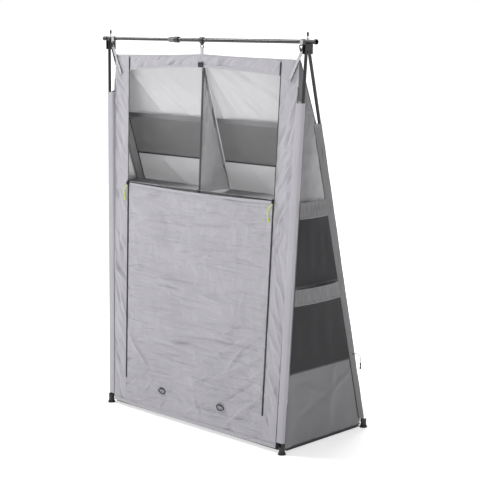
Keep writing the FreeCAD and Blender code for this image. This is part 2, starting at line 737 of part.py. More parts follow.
def guy():
    """A short cord sewn on at the right rear sleeve, with a tag at its end."""
    z = guy_anchor_z
    anchor = V(leg_x(z) + sleeve_half + guy_diameter / 2, rear_y(z) + sleeve_half - 22, z)
    points = [anchor + V(*p) for p in guy_route]
    save("guy_cord", cord(points, guy_diameter))
    end = points[-1]
    save("guy_tag", block(end.x - 2, end.x + 2, end.y - 6, end.y + 6, end.z - 26, end.z - 0.6))


def straps():
    save("anchor_webbing", *[corner_webbing(side) for side in SIDES])
    save("strap_buckles", *[triangle_buckle(side) for side in SIDES])
    save("corner_straps", *[corner_strap(side) for side in SIDES])
    centre_hanger()
    guy()


os.makedirs("parts", exist_ok=True)
rail()
rail_lock()
rail_ends()
apexes()
legs()
front_fabric()
door()
door_zips()
fabric_body()
straps()
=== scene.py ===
# %% [markdown]
# # A camping storage wardrobe
# Four poles stand as an A-frame under a hanging rail, and a fabric body hangs below the rail. The
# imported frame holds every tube, joint and fitting at its real size. This lesson keeps those and
# sews the fabric, webbing, zips and cords around them.

# %% Load the frame
import json
import math
import random

import bmesh
import bpy
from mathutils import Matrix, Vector, noise


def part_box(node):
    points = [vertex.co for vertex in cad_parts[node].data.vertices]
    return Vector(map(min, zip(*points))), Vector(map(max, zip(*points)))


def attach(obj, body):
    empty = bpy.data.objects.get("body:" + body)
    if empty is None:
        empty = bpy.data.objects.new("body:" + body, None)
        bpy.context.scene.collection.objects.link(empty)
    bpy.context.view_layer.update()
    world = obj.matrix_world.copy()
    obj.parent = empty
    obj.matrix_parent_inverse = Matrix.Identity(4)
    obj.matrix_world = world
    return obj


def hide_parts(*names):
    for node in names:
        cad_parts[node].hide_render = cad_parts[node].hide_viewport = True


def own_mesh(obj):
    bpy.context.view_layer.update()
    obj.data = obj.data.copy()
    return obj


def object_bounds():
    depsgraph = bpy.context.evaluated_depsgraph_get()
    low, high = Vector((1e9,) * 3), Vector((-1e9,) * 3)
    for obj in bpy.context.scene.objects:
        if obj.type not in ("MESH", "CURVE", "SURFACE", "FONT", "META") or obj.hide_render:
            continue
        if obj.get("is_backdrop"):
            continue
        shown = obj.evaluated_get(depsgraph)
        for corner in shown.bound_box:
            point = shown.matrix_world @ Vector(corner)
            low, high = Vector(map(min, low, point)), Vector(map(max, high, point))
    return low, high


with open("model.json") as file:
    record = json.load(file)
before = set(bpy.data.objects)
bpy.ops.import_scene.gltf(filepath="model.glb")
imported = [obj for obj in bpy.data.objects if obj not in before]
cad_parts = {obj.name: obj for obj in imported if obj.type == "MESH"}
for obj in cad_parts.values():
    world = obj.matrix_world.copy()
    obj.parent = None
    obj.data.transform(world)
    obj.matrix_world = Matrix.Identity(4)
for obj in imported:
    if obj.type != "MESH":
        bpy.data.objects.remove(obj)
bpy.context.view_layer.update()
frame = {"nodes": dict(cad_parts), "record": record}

scene = bpy.context.scene
mm = 0.001
SIDES = {"left": -1, "right": 1}


def deselect():
    bpy.ops.object.select_all(action="DESELECT")

# %% [markdown]
# ## Camera
# A long lens from the right-hand front corner, a little above the middle, sees the front and one
# side at once. The place is worked out from a target, two angles and a distance, so that each can
# be changed alone.

# %% Camera
view_target = Vector((0.1080, -0.0681, 0.7824))
view_azimuth, view_elevation, view_roll = (math.radians(a) for a in (44.697, 9.537, -0.066))
view_distance = 5.5056
flat_reach = math.cos(view_elevation)
view_back = Vector((math.sin(view_azimuth) * flat_reach, -math.cos(view_azimuth) * flat_reach,
                    math.sin(view_elevation)))
camera_data = bpy.data.cameras.new("camera")
camera_data.lens = 99.93
camera = bpy.data.objects.new("camera", camera_data)
scene.collection.objects.link(camera)
camera.location = view_target + view_back * view_distance
camera.rotation_euler = (-view_back).to_track_quat("-Z", "Y").to_euler()
camera.rotation_euler.rotate_axis("Z", view_roll)
scene.camera = camera
print("camera at", [round(c, 3) for c in camera.location])

# %% [markdown]
# ## Floor and light
# Soft goods show their shape by slow changes of tone, so the light is one large soft source from
# the left, a second one behind that shines through the thin cloth, and a pale room all round.

# %% Floor and light
scene.view_settings.view_transform = "Standard"
deselect()
bpy.ops.mesh.primitive_plane_add(size=600)
floor = bpy.context.object
floor.name = "studio_floor"
floor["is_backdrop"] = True
world = bpy.data.worlds.new("pale_room")
world.use_nodes = True
world.node_tree.nodes["Background"].inputs["Color"].default_value = (1, 1, 1, 1)
sky = world.node_tree.nodes["Background"]
looking = world.node_tree.nodes.new("ShaderNodeLightPath")
brighter = world.node_tree.nodes.new("ShaderNodeMapRange")
brighter.inputs["To Min"].default_value = 0.42
brighter.inputs["To Max"].default_value = 1.0
world.node_tree.links.new(looking.outputs["Is Camera Ray"], brighter.inputs["Value"])
world.node_tree.links.new(brighter.outputs["Result"], sky.inputs["Strength"])
scene.world = world


def softbox(name, place, size, watts):
    """A square area light at place that looks at the middle of the wardrobe."""
    light = bpy.data.lights.new(name, "AREA")
    light.size = size
    light.energy = watts
    lamp = bpy.data.objects.new(name, light)
    scene.collection.objects.link(lamp)
    lamp.location = place
    lamp.rotation_euler = (Vector((0, 0, 0.8)) - Vector(place)).to_track_quat("-Z", "Y").to_euler()


softbox("key_left", (-2.9, -1.7, 4.3), 1.3, 150)
softbox("glow_behind", (-1.6, 3.6, 2.6), 2.6, 95)

# %% [markdown]
# ## Reading the frame
# Every seam of the fabric follows the poles, so the helpers here turn the boxes of the frame's
# nodes into straight lines: where a leg stands at a height, where the front and the rear cloth
# run, and how far apart the two zips are.

# %% Lines of the frame
leg_radius = 6.5 * mm
zip_half = 4 * mm
cloth_room = 1.5 * mm       # thickness that the frame leaves for each sheet
sleeve_half = leg_radius + 2 * mm


def straight(z, low, high):
    """The value at height z on the line through the (height, value) pairs low and high."""
    return low[1] + (high[1] - low[1]) * (z - low[0]) / (high[0] - low[0])


leg_low, leg_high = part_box("front_leg_right")
rear_low, rear_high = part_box("rear_leg_right")
stile_low, stile_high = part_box("front_stile_right")
back_low, back_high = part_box("rear_panel")
chain_low, chain_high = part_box("zip_right")
sleeve_low, sleeve_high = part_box("front_sleeve_right")
rear_sleeve_low, rear_sleeve_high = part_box("rear_sleeve_right")
hem_z, ridge_z = stile_low.z, stile_high.z
ridge_half = stile_high.x
zip_low_z = chain_low.z
door_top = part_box("door_panel")[1].z
apex_y = (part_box("ridge_seam")[0].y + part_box("ridge_seam")[1].y) / 2


def leg_x(z):
    return straight(z, (leg_low.z, leg_low.x + leg_radius), (leg_high.z, leg_high.x - leg_radius))


def front_y(z):
    return straight(z, (leg_low.z, leg_low.y + leg_radius), (leg_high.z, leg_high.y - leg_radius))


def rear_y(z):
    return straight(z, (rear_low.z, rear_high.y - leg_radius), (rear_high.z, rear_low.y + leg_radius))


def panel_y(z):
    """Outer face of the front cloth."""
    return straight(z, (hem_z, stile_low.y), (ridge_z, stile_high.y - cloth_room))


def back_y(z):
    """Inner face of the rear cloth."""
    return straight(z, (back_low.z, back_high.y - cloth_room), (back_high.z, back_low.y))


def zip_x(z):
    return straight(z, (chain_low.z, chain_low.x + zip_half), (chain_high.z, chain_high.x - zip_half))


front_sleeve_width = 39.5 * mm


def stile_x(z):
    """The seam between a stile and its sleeve."""
    return leg_x(min(z, sleeve_high.z)) + sleeve_half - front_sleeve_width


def rear_sleeve_width(z):
    return straight(z, (rear_sleeve_low.z, 38 * mm), (rear_sleeve_high.z, 52 * mm))


def side_front(z):
    return front_y(z) + sleeve_half + 0.3 * mm


def side_rear(z):
    return rear_y(z) + sleeve_half - rear_sleeve_width(z) - 0.3 * mm


print("legs", round(2 * leg_x(0), 3), "apart below and", round(2 * leg_x(ridge_z), 3), "above")

# %% [markdown]
# ## Shader groups
# Several finishes share the same small structures: a plain weave with soft crinkles, a knitted
# net with holes, the ribs of woven tape, and the fine grain and scuffs of moulded or painted
# parts. Each is one node group with its own inputs, so that a material only sets its values.

# %% Node helpers
def add(tree, kind, sockets, **settings):
    """One node. Sockets are its inputs by name or number, as values or as links."""
    node = tree.nodes.new("ShaderNode" + kind)
    for key, value in settings.items():
        setattr(node, key, value)
    for key, value in sockets.items():
        if isinstance(value, bpy.types.NodeSocket):
            tree.links.new(value, node.inputs[key])
        else:
            node.inputs[key].default_value = value
    return node


def math_node(tree, operation, first, second=0.0):
    return add(tree, "Math", {0: first, 1: second}, operation=operation).outputs[0]


def new_group(name, inputs, outputs):
    """An empty shader group. Inputs are (name, default), a vector where the default is None."""
    group = bpy.data.node_groups.new(name, "ShaderNodeTree")
    for socket, value in inputs:
        kind = "NodeSocketVector" if value is None else "NodeSocketFloat"
        made = group.interface.new_socket(socket, in_out="INPUT", socket_type=kind)
        if value is not None:
            made.default_value = value
    for socket in outputs:
        group.interface.new_socket(socket, in_out="OUTPUT", socket_type="NodeSocketFloat")
    return group, group.nodes.new("NodeGroupInput").outputs, group.nodes.new("NodeGroupOutput").inputs


def scaled(tree, vector, scale):
    return add(tree, "VectorMath", {0: vector, "Scale": scale}, operation="SCALE").outputs[0]


def noise_of(tree, vector, scale, detail=3.0, roughness=0.5, distortion=0.0):
    return add(tree, "TexNoise", {"Vector": vector, "Scale": scale, "Detail": detail,
                                  "Roughness": roughness, "Distortion": distortion}).outputs["Fac"]


# %% [markdown]
# ### Plain weave
# Tent cloth is a plain weave of fine threads. Two sine waves, one for each thread direction, make
# the weave; stretched noise makes slack threads and the small crinkles left by folding.

# %% Weave group
weave, weave_in, weave_out = new_group(
    "plain_weave", [("Vector", None), ("Threads", 1600.0), ("Crinkle", 0.5), ("Drag", 0.0)],
    ["Height", "Tone", "Slub"])
axes = add(weave, "SeparateXYZ", {0: weave_in["Vector"]}).outputs
threads = []
for direction in ("X", "Y"):
    turn = math_node(weave, "MULTIPLY", axes[direction], weave_in["Threads"])
    wave = math_node(weave, "SINE", math_node(weave, "MULTIPLY", turn, math.pi))
    threads.append(math_node(weave, "ABSOLUTE", wave))
weave_height = math_node(weave, "MULTIPLY", math_node(weave, "ADD", *threads), 0.5)
coarse = noise_of(weave, weave_in["Vector"], 26.0, 4.0, 0.6, 0.6)
fine = noise_of(weave, weave_in["Vector"], 120.0, 3.0, 0.6, 1.2)
crease_lines = math_node(weave, "ABSOLUTE", math_node(weave, "SUBTRACT", fine, 0.5))
crinkle = math_node(weave, "ADD", coarse, math_node(weave, "MULTIPLY", crease_lines, -0.9))
height = math_node(weave, "ADD", math_node(weave, "MULTIPLY", weave_height, 0.04),
                   math_node(weave, "MULTIPLY", crinkle, weave_in["Crinkle"]))
pulled = add(weave, "Mapping", {"Vector": weave_in["Vector"], "Rotation": (0, 0, -0.07),
                                "Scale": (3.6, 46.0, 1.0)})
drag = noise_of(weave, pulled.outputs[0], 1.0, 3.0, 0.55, 0.7)
drag_lines = math_node(weave, "ABSOLUTE", math_node(weave, "SUBTRACT", drag, 0.5))
height = math_node(weave, "ADD", height, math_node(weave, "MULTIPLY", weave_in["Drag"],
                                                   math_node(weave, "SUBTRACT", drag, drag_lines)))
stretched = add(weave, "Mapping", {"Vector": weave_in["Vector"], "Scale": (700.0, 6.0, 1.0)})
slub = noise_of(weave, stretched.outputs[0], 1.0, 2.0, 0.6)
cloudy = noise_of(weave, weave_in["Vector"], 4.0, 3.0, 0.55)
tone = math_node(weave, "ADD", math_node(weave, "MULTIPLY", cloudy, 0.6),
                 math_node(weave, "MULTIPLY", slub, 0.4))
for socket, value in (("Height", height), ("Tone", tone), ("Slub", slub)):
    weave.links.new(value, weave_out[socket])

# %% [markdown]
# ### Net
# The pockets are a knitted net. A hexagonal grid of round holes is made from two offset dot grids,
# and the larger of the two is the hole. What is not a hole is thread.

# %% Net group
net, net_in, net_out = new_group("knitted_net", [("Vector", None), ("Cells", 420.0), ("Hole", 0.5)],
                                 ["Alpha", "Height"])
holes = []
for offset in (0.0, 0.5):
    shifted = add(net, "VectorMath", {0: scaled(net, net_in["Vector"], net_in["Cells"]),
                                      1: (offset, offset, 0.0)}, operation="ADD").outputs[0]
    cell = add(net, "VectorMath", {0: shifted}, operation="FRACTION").outputs[0]
    centred = add(net, "VectorMath", {0: cell, 1: (0.5, 0.5, 0.0)}, operation="SUBTRACT").outputs[0]
    flat_cell = add(net, "VectorMath", {0: centred, 1: (1.0, 1.0, 0.0)}, operation="MULTIPLY").outputs[0]
    holes.append(add(net, "VectorMath", {0: flat_cell}, operation="LENGTH").outputs["Value"])
nearest = math_node(net, "MINIMUM", *holes)
thread = math_node(net, "GREATER_THAN", nearest, math_node(net, "MULTIPLY", net_in["Hole"], 0.5))
net.links.new(thread, net_out["Alpha"])
net.links.new(math_node(net, "MULTIPLY", nearest, 2.0), net_out["Height"])

# %% [markdown]
# ### Woven tape
# Webbing has ribs along its length, crossed by a slanting twill. Both are sine waves on the
# tape's own length and width.

# %% Tape group
tape, tape_in, tape_out = new_group("woven_tape", [("Vector", None), ("Ribs", 900.0)], ["Height", "Tone"])
tape_axes = add(tape, "SeparateXYZ", {0: tape_in["Vector"]}).outputs
across_tape = math_node(tape, "MULTIPLY", tape_axes["X"], tape_in["Ribs"])
along_tape = math_node(tape, "MULTIPLY", tape_axes["Y"], tape_in["Ribs"])
rib = math_node(tape, "ABSOLUTE", math_node(tape, "SINE", math_node(tape, "MULTIPLY", across_tape, math.pi)))
twill_turn = math_node(tape, "ADD", math_node(tape, "MULTIPLY", along_tape, 2.2),
                       math_node(tape, "PINGPONG", across_tape, 1.0))
twill = math_node(tape, "ABSOLUTE", math_node(tape, "SINE", twill_turn))
tape.links.new(math_node(tape, "ADD", math_node(tape, "MULTIPLY", rib, 0.6),
                         math_node(tape, "MULTIPLY", twill, 0.4)), tape_out["Height"])
tape.links.new(noise_of(tape, tape_in["Vector"], 300.0), tape_out["Tone"])

# %% [markdown]
# ### Grain and scuffs
# Painted tubes and moulded plastic are never one even tone. Fine noise gives the grain, and
# stretched noise, cut off high, leaves a few long rubbed marks.

# %% Grain group
grain, grain_in, grain_out = new_group(
    "grain_and_scuffs", [("Vector", None), ("Grain", 900.0), ("Scuffs", 0.5)], ["Height", "Tone", "Scuff"])
grain_noise = noise_of(grain, grain_in["Vector"], grain_in["Grain"], 2.0, 0.6)
scuff_space = add(grain, "Mapping", {"Vector": grain_in["Vector"], "Scale": (60.0, 60.0, 9.0)})
scuff_noise = noise_of(grain, scuff_space.outputs[0], 1.0, 6.0, 0.7, 0.4)
scuff_share = add(grain, "MapRange", {"Value": scuff_noise, "From Min": 0.60, "From Max": 0.72}).outputs[0]
scuffed = math_node(grain, "MULTIPLY", scuff_share, grain_in["Scuffs"])
patches = noise_of(grain, grain_in["Vector"], 14.0, 3.0)
grain.links.new(math_node(grain, "SUBTRACT", grain_noise, math_node(grain, "MULTIPLY", scuffed, 0.3)),
                grain_out["Height"])
grain.links.new(math_node(grain, "ADD", math_node(grain, "MULTIPLY", patches, 0.7),
                          math_node(grain, "MULTIPLY", grain_noise, 0.3)), grain_out["Tone"])
grain.links.new(scuffed, grain_out["Scuff"])

# %% [markdown]
# ## Materials
# Each finish is one Principled shader. The groups feed its colour, roughness and bump, and the
# values that are the same all over sit on the shader itself. Thin cloth lets light through, which
# the shader's subsurface share stands for.

# %% Material helpers
def new_material(name):
    material = bpy.data.materials.new(name)
    material.use_nodes = True
    return material, material.node_tree, material.node_tree.nodes["Principled BSDF"]


def use_group(tree, group, sockets):
    node = tree.nodes.new("ShaderNodeGroup")
    node.node_tree = group
    for key, value in sockets.items():
        if isinstance(value, bpy.types.NodeSocket):
            tree.links.new(value, node.inputs[key])
        else:
            node.inputs[key].default_value = value
    return node.outputs


def two_tone(tree, shader, share, dark, light):
    """Base colour between two colours by a share that changes over the surface."""
    mixed = add(tree, "Mix", {"Factor": share}, data_type="RGBA")
    mixed.inputs["A"].default_value = (*dark, 1)
    mixed.inputs["B"].default_value = (*light, 1)
    tree.links.new(mixed.outputs["Result"], shader.inputs["Base Color"])


def spread(tree, value, low, high):
    return add(tree, "MapRange", {"Value": value, "From Min": 0.3, "From Max": 0.7, "To Min": low,
                                  "To Max": high}).outputs[0]


def bump(tree, shader, height, distance, strength=1.0):
    node = add(tree, "Bump", {"Height": height, "Distance": distance, "Strength": strength})
    tree.links.new(node.outputs["Normal"], shader.inputs["Normal"])


def cloth_material(name, dark, light, through, crinkle=0.5, rough=0.62, depth=1.4 * mm, drag=0.0):
    """Coated polyester: a fine weave, soft crinkles, a little sheen, and light that comes through."""
    material, tree, shader = new_material(name)
    uv = add(tree, "UVMap", {}, uv_map="UVMap").outputs[0]
    cloth = use_group(tree, weave, {"Vector": uv, "Crinkle": crinkle, "Drag": drag})
    two_tone(tree, shader, spread(tree, cloth["Tone"], 0.0, 1.0), dark, light)
    tree.links.new(spread(tree, cloth["Slub"], rough - 0.08, rough + 0.08), shader.inputs["Roughness"])
    bump(tree, shader, cloth["Height"], depth)
    shader.inputs["Sheen Weight"].default_value = 0.15
    shader.inputs["Sheen Roughness"].default_value = 0.4
    shader.inputs["Subsurface Weight"].default_value = through
    shader.inputs["Subsurface Radius"].default_value = (1.0, 1.0, 1.0)
    shader.inputs["Subsurface Scale"].default_value = 0.01
    return material


def net_material(name, colour, cells, hole):
    material, tree, shader = new_material(name)
    uv = add(tree, "UVMap", {}, uv_map="UVMap").outputs[0]
    knit = use_group(tree, net, {"Vector": uv, "Cells": cells, "Hole": hole})
    shade = noise_of(tree, uv, 9.0)
    two_tone(tree, shader, shade, colour, tuple(c * 1.7 for c in colour))
    tree.links.new(knit["Alpha"], shader.inputs["Alpha"])
    bump(tree, shader, knit["Height"], 0.2 * mm)
    shader.inputs["Roughness"].default_value = 0.7
    return material


def tape_material(name, dark, light, ribs=900.0):
    material, tree, shader = new_material(name)
    uv = add(tree, "UVMap", {}, uv_map="UVMap").outputs[0]
    woven = use_group(tree, tape, {"Vector": uv, "Ribs": ribs})
    two_tone(tree, shader, woven["Tone"], dark, light)
    tree.links.new(spread(tree, woven["Height"], 0.55, 0.75), shader.inputs["Roughness"])
    bump(tree, shader, woven["Height"], 0.3 * mm)
    shader.inputs["Sheen Weight"].default_value = 0.1
    return material


def hard_material(name, dark, light, rough, metallic=0.0, grain_size=900.0, scuffs=0.5, depth=0.08 * mm):
    """Painted steel, bare metal or moulded plastic, by its colours, roughness and grain."""
    material, tree, shader = new_material(name)
    place = add(tree, "TexCoord", {}).outputs["Object"]
    worn = use_group(tree, grain, {"Vector": place, "Grain": grain_size, "Scuffs": scuffs})
    share = math_node(tree, "ADD", math_node(tree, "MULTIPLY", worn["Tone"], 0.5), worn["Scuff"])
    two_tone(tree, shader, share, dark, light)
    even = spread(tree, worn["Tone"], rough - 0.05, rough + 0.07)
    tree.links.new(math_node(tree, "ADD", worn["Scuff"], even), shader.inputs["Roughness"])
    bump(tree, shader, worn["Height"], depth)
    shader.inputs["Metallic"].default_value = metallic
    return material


# %% [markdown]
# ### The finishes
# One material for each cloth, tape, net, paint, metal and plastic of the wardrobe.

# %% The finishes
FINISH = {
    "front_fabric": cloth_material("front_cloth", (0.39, 0.38, 0.415), (0.46, 0.45, 0.485), 0.12,
                                   crinkle=0.9, depth=2.0 * mm),
    "door_fabric": cloth_material("door_cloth_finish", (0.385, 0.375, 0.41), (0.47, 0.46, 0.495), 0.12,
                                  crinkle=0.9, depth=2.0 * mm, drag=4.8),
    # painted light: far lighter than the rear cloth, so that the shaded inner corners read light
    "lining_painted_light": cloth_material("corner_lining_painted_light", (0.80, 0.80, 0.81), (0.88, 0.88, 0.89), 0.35),
    "side_fabric": cloth_material("side_cloth", (0.165, 0.165, 0.172), (0.210, 0.210, 0.217), 0.40),
    "rear_fabric": cloth_material("rear_cloth", (0.44, 0.44, 0.455), (0.51, 0.51, 0.525), 0.22, crinkle=0.25),
    # painted light: much lighter than the side cloth, to brighten the shelf that lies in shade
    "shelf_painted_light": cloth_material("shelf_cloth_painted_light", (0.46, 0.455, 0.475), (0.54, 0.535, 0.555), 0.25),
    "floor_fabric": cloth_material("floor_cloth", (0.16, 0.16, 0.17), (0.22, 0.22, 0.23), 0.02),
    "mesh": net_material("pocket_net", (0.010, 0.010, 0.012), 420.0, 0.20),
    "rear_mesh": net_material("rear_pocket_net", (0.030, 0.030, 0.032), 420.0, 0.50),
    "webbing": tape_material("grey_webbing", (0.42, 0.42, 0.44), (0.56, 0.56, 0.58)),
    "tape_dark": tape_material("dark_binding", (0.030, 0.030, 0.033), (0.060, 0.060, 0.064), 1400.0),
    "binding": hard_material("seam_binding", (0.010, 0.010, 0.012), (0.028, 0.028, 0.031), 0.6,
                             grain_size=2200.0, scuffs=0.1),
    "thread": tape_material("sewing_thread", (0.30, 0.30, 0.32), (0.42, 0.42, 0.44), 3000.0),
    "zip_black": tape_material("zip_tape", (0.010, 0.010, 0.011), (0.026, 0.026, 0.028), 2000.0),
    "zip_teeth": hard_material("zip_coil", (0.006, 0.006, 0.006), (0.020, 0.020, 0.021), 0.38,
                               grain_size=2500.0),
    "slider_black": hard_material("slider_enamel", (0.012, 0.012, 0.013), (0.10, 0.10, 0.10), 0.34, 0.6),
    "cord_lime": tape_material("lime_cord", (0.55, 0.78, 0.02), (0.80, 0.98, 0.08), 1500.0),
    "cord_grey": tape_material("grey_cord", (0.03, 0.03, 0.033), (0.15, 0.15, 0.155), 1500.0),
    "pole_black": hard_material("pole_paint", (0.010, 0.011, 0.013), (0.026, 0.027, 0.030), 0.32,
                                grain_size=1400.0, scuffs=0.05, depth=0.015 * mm),
    "steel": hard_material("zinc_steel", (0.42, 0.42, 0.43), (0.66, 0.66, 0.67), 0.30, 1.0, 1800.0, 0.3),
    "plastic_black": hard_material("black_plastic", (0.010, 0.010, 0.011), (0.038, 0.038, 0.040), 0.48,
                                   grain_size=1100.0),
    "plastic_grey": hard_material("grey_plastic", (0.115, 0.115, 0.12), (0.19, 0.19, 0.195), 0.50,
                                  grain_size=1100.0),
}
paper = hard_material("studio_paper", (0.86, 0.86, 0.86), (0.90, 0.90, 0.90), 0.8, 0.0, 50.0, 0.0)
paper_tree = paper.node_tree
middle = add(paper_tree, "TexCoord", {}).outputs["Object"]
reach = add(paper_tree, "VectorMath", {0: middle}, operation="LENGTH").outputs["Value"]
lit = add(paper_tree, "MapRange", {"Value": reach, "From Min": 0.5, "From Max": 2.2, "To Min": 0.55,
                                   "To Max": 1.0}, interpolation_type="SMOOTHSTEP").outputs["Result"]
paper_shader = paper_tree.nodes["Principled BSDF"]
paper_shader.inputs["Emission Color"].default_value = (1, 1, 1, 1)
paper_tree.links.new(lit, paper_shader.inputs["Emission Strength"])
floor.data.materials.append(paper)
print(len(FINISH), "finishes")

# %% [markdown]
# ### Finishes on the frame's own parts
# The tubes, pins, rivets, brackets and boots keep the shape that the frame gives them. Each takes
# its finish from the slot that the record names for it.

# %% Finish the frame's parts
slot_of = {part["node"]: part["material_slot"] for part in frame["record"]["subparts"]}
for name, obj in frame["nodes"].items():
    obj.data.materials.clear()
    obj.data.materials.append(FINISH[slot_of[name]])
frame["nodes"]["leg_rivets"].data.materials[0] = FINISH["pole_black"]
print("slots:", sorted(set(slot_of.values())))

# %% [markdown]
# ## Cords
# A short lime cord hangs from each zip pull as a doubled strand, and a dark cord with a small
# toggle hangs behind the right rear leg. A cord is a NURBS curve through a few given points: it
# bends evenly between them, as a limp cord does, and its bevel gives it its thickness.

# %% Cord curves
pull_routes = {
    "left": [(0, 0, -1), (-9, -2.5, -8), (-18, -3, -19), (-20, -2.5, -34), (-15, -2, -48), (-16, -1.5, -62)],
    "right": [(0, 0, -1), (-11, -2.5, -9), (-20, -3, -22), (-26, -2.5, -38), (-24, -2, -54),
              (-18, -1.5, -68)],
}
guy_route = [(0, 0, 0), (9, 9, 4), (12, 24, 0), (10, 38, -12), (6, 45, -28), (3, 48, -44)]
cord_radius = 1.1 * mm
guy_radius = 1.5 * mm


def lay_cord(name, start, route, radius, finish):
    """A round cord from start along a route in millimetres."""
    curve = bpy.data.curves.new(name, "CURVE")
    curve.dimensions = "3D"
    curve.bevel_depth = radius
    curve.bevel_resolution = 3
    curve.resolution_u = 10
    curve.use_fill_caps = True
    spline = curve.splines.new("NURBS")
    spline.points.add(len(route) - 1)
    for point, step in zip(spline.points, route):
        point.co = (*(start + Vector(step) * mm), 1)
    spline.order_u = 3
    spline.use_endpoint_u = True
    obj = bpy.data.objects.new(name, curve)
    scene.collection.objects.link(obj)
    obj.data.materials.append(FINISH[finish])
    return obj


def tie_knot(name, middle, size, finish):
    """A small overhand knot: a round strand along a trefoil."""
    turns = [2 * math.pi * i / 48 for i in range(48)]
    loops = [(math.sin(t) + 2 * math.sin(2 * t), -math.sin(3 * t), math.cos(t) - 2 * math.cos(2 * t))
             for t in turns]
    curve = bpy.data.curves.new(name, "CURVE")
    curve.dimensions = "3D"
    curve.bevel_depth = cord_radius
    spline = curve.splines.new("POLY")
    spline.points.add(len(loops) - 1)
    for point, step in zip(spline.points, loops):
        point.co = (*(middle + Vector(step) * size), 1)
    spline.use_cyclic_u = True
    knot = bpy.data.objects.new(name, curve)
    scene.collection.objects.link(knot)
    deselect()
    knot.select_set(True)
    bpy.context.view_layer.objects.active = knot
    bpy.ops.object.convert(target="MESH")
    knot = bpy.context.object
    knot.data.materials.clear()
    knot.data.materials.append(FINISH[finish])
    bpy.ops.object.shade_smooth()
    return knot


for side, route in pull_routes.items():
    pull_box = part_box(f"zip_pull_{side}")
    eyelet = Vector(((pull_box[0].x + pull_box[1].x) / 2, (pull_box[0].y + pull_box[1].y) / 2, pull_box[0].z))
    strand = lay_cord(f"pull_strand_{side}", eyelet, route, cord_radius, "cord_lime")
    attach(strand, f"zip_pull_{side}")
    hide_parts(f"pull_cord_{side}")
    knot = tie_knot(f"pull_knot_{side}", eyelet + Vector(route[-1]) * mm, 1.15 * mm, "cord_lime")
    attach(knot, f"zip_pull_{side}")
    beside = [(x + 2.4 * (1 if i in (1, 3) else 0.7), y - 0.5, z + 0.8 * (i % 2))
              for i, (x, y, z) in enumerate(route)]
    beside[0] = (1.2, 0, -1)
    second = lay_cord(f"pull_second_{side}", eyelet, beside, cord_radius, "cord_lime")
    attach(second, f"zip_pull_{side}")
    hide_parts(f"pull_cord_{side}")
    eyelet + Vector(beside[0]) * mm

guy_z = 334 * mm
guy_start = Vector((leg_x(guy_z) + sleeve_half + guy_radius, rear_y(guy_z) + sleeve_half - 22 * mm, guy_z))
guy = lay_cord("guy_line", guy_start, guy_route, guy_radius, "cord_grey")
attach(guy, "rear_frame")
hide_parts("guy_cord")


def cut_round(shape, centre, normal):
    """Cut a mesh in edit mode by a plane, so that it has a ring of points there."""
    parts = [*shape.verts, *shape.edges, *shape.faces]
    bmesh.ops.bisect_plane(shape, geom=parts, plane_co=centre, plane_no=normal)


tag_low, tag_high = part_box("guy_tag")
deselect()
bpy.ops.mesh.primitive_cylinder_add(vertices=20, radius=4.2 * mm, depth=tag_high.z - tag_low.z,
                                    location=(tag_low + tag_high) / 2)
toggle = bpy.context.object
toggle.name = "guy_toggle"
bpy.ops.object.transform_apply(location=True, rotation=True, scale=True)
bpy.ops.object.mode_set(mode="EDIT")
bpy.ops.mesh.bevel(offset=1.1 * mm, segments=3)
bm = bmesh.from_edit_mesh(toggle.data)
for share in (0.25, 0.4, 0.55, 0.7):
    level = tag_low.z + share * (tag_high.z - tag_low.z)
    cut_round(bm, (0, 0, level), (0, 0, 1))
middle = (tag_low + tag_high) / 2
for vertex in bm.verts:
    waist = 1 - 0.38 * math.exp(-((vertex.co.z - middle.z) / (6 * mm)) ** 2)
    vertex.co.x = middle.x + (vertex.co.x - middle.x) * waist
    vertex.co.y = middle.y + (vertex.co.y - middle.y) * waist
bmesh.update_edit_mesh(toggle.data)
bpy.ops.object.mode_set(mode="OBJECT")
toggle.data.materials.append(FINISH["plastic_black"])
bpy.ops.object.shade_smooth_by_angle(angle=math.radians(45))
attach(toggle, "rear_frame")
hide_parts("guy_tag")

# %% [markdown]
# ## How a sheet is cut and sewn
# Every panel starts as a flat grid that is laid between its seams by a rule: a point for each
# place across and up the cloth. Soft creases are then pressed into it, and its sewn edges are
# pinned. Last the cloth solver relaxes all panels together, with a little spare cloth in each, so
# that the creases become the buckles that real cloth makes. Thickness comes at the end.

# %% Creases
def crease_height(x, y, start, end, width, height):
    """Height at (x, y) of one soft fold from start to end. One flank is steeper than the other."""
    dx, dy = end[0] - start[0], end[1] - start[1]
    run = math.hypot(dx, dy)
    along = ((x - start[0]) * dx + (y - start[1]) * dy) / (run * run)
    if not 0 < along < 1:
        return 0.0
    spread_out = width * (0.55 + 0.9 * along * (1 - along) * 4)
    across = ((x - start[0]) * dy - (y - start[1]) * dx) / run / spread_out
    if abs(across) > 3:
        return 0.0
    fade = math.sin(math.pi * along) ** 0.7
    crisp = 0.45 * math.exp(-1.7 * abs(across)) + 0.55 * math.exp(-across * across)
    return height * fade * (1 - 0.6 * across / (1 + abs(across))) * crisp


def scatter_creases(seed, count, width, length, slope, reach, breadth, height):
    """Creases at seeded random places. Slope is their direction in degrees, with its spread."""
    draw = random.Random(seed)
    creases = []
    for _ in range(count):
        x, y = draw.uniform(0, width), draw.uniform(0, length)
        angle = math.radians(draw.gauss(*slope))
        run = draw.uniform(*reach)
        wide, high = draw.uniform(*breadth), draw.uniform(*height) * draw.choice((-1, 1))
        step = (math.cos(angle) * run, math.sin(angle) * run)
        begin = (x - step[0] * 0.5, y - step[1] * 0.5)
        creases.append((begin, (begin[0] + step[0], begin[1] + step[1]), wide, high))
    return creases


def moved(creases, dx, dy):
    return [((a + dx, b + dy), (c + dx, d + dy), width, height) for (a, b), (c, d), width, height in creases]


# %% [markdown]
# ### One sheet
# A sheet is a grid primitive whose points are put in place by a rule. Dragging them by hand or
# hanging the whole panel in a solver would both let the seams wander, and a rule keeps them.

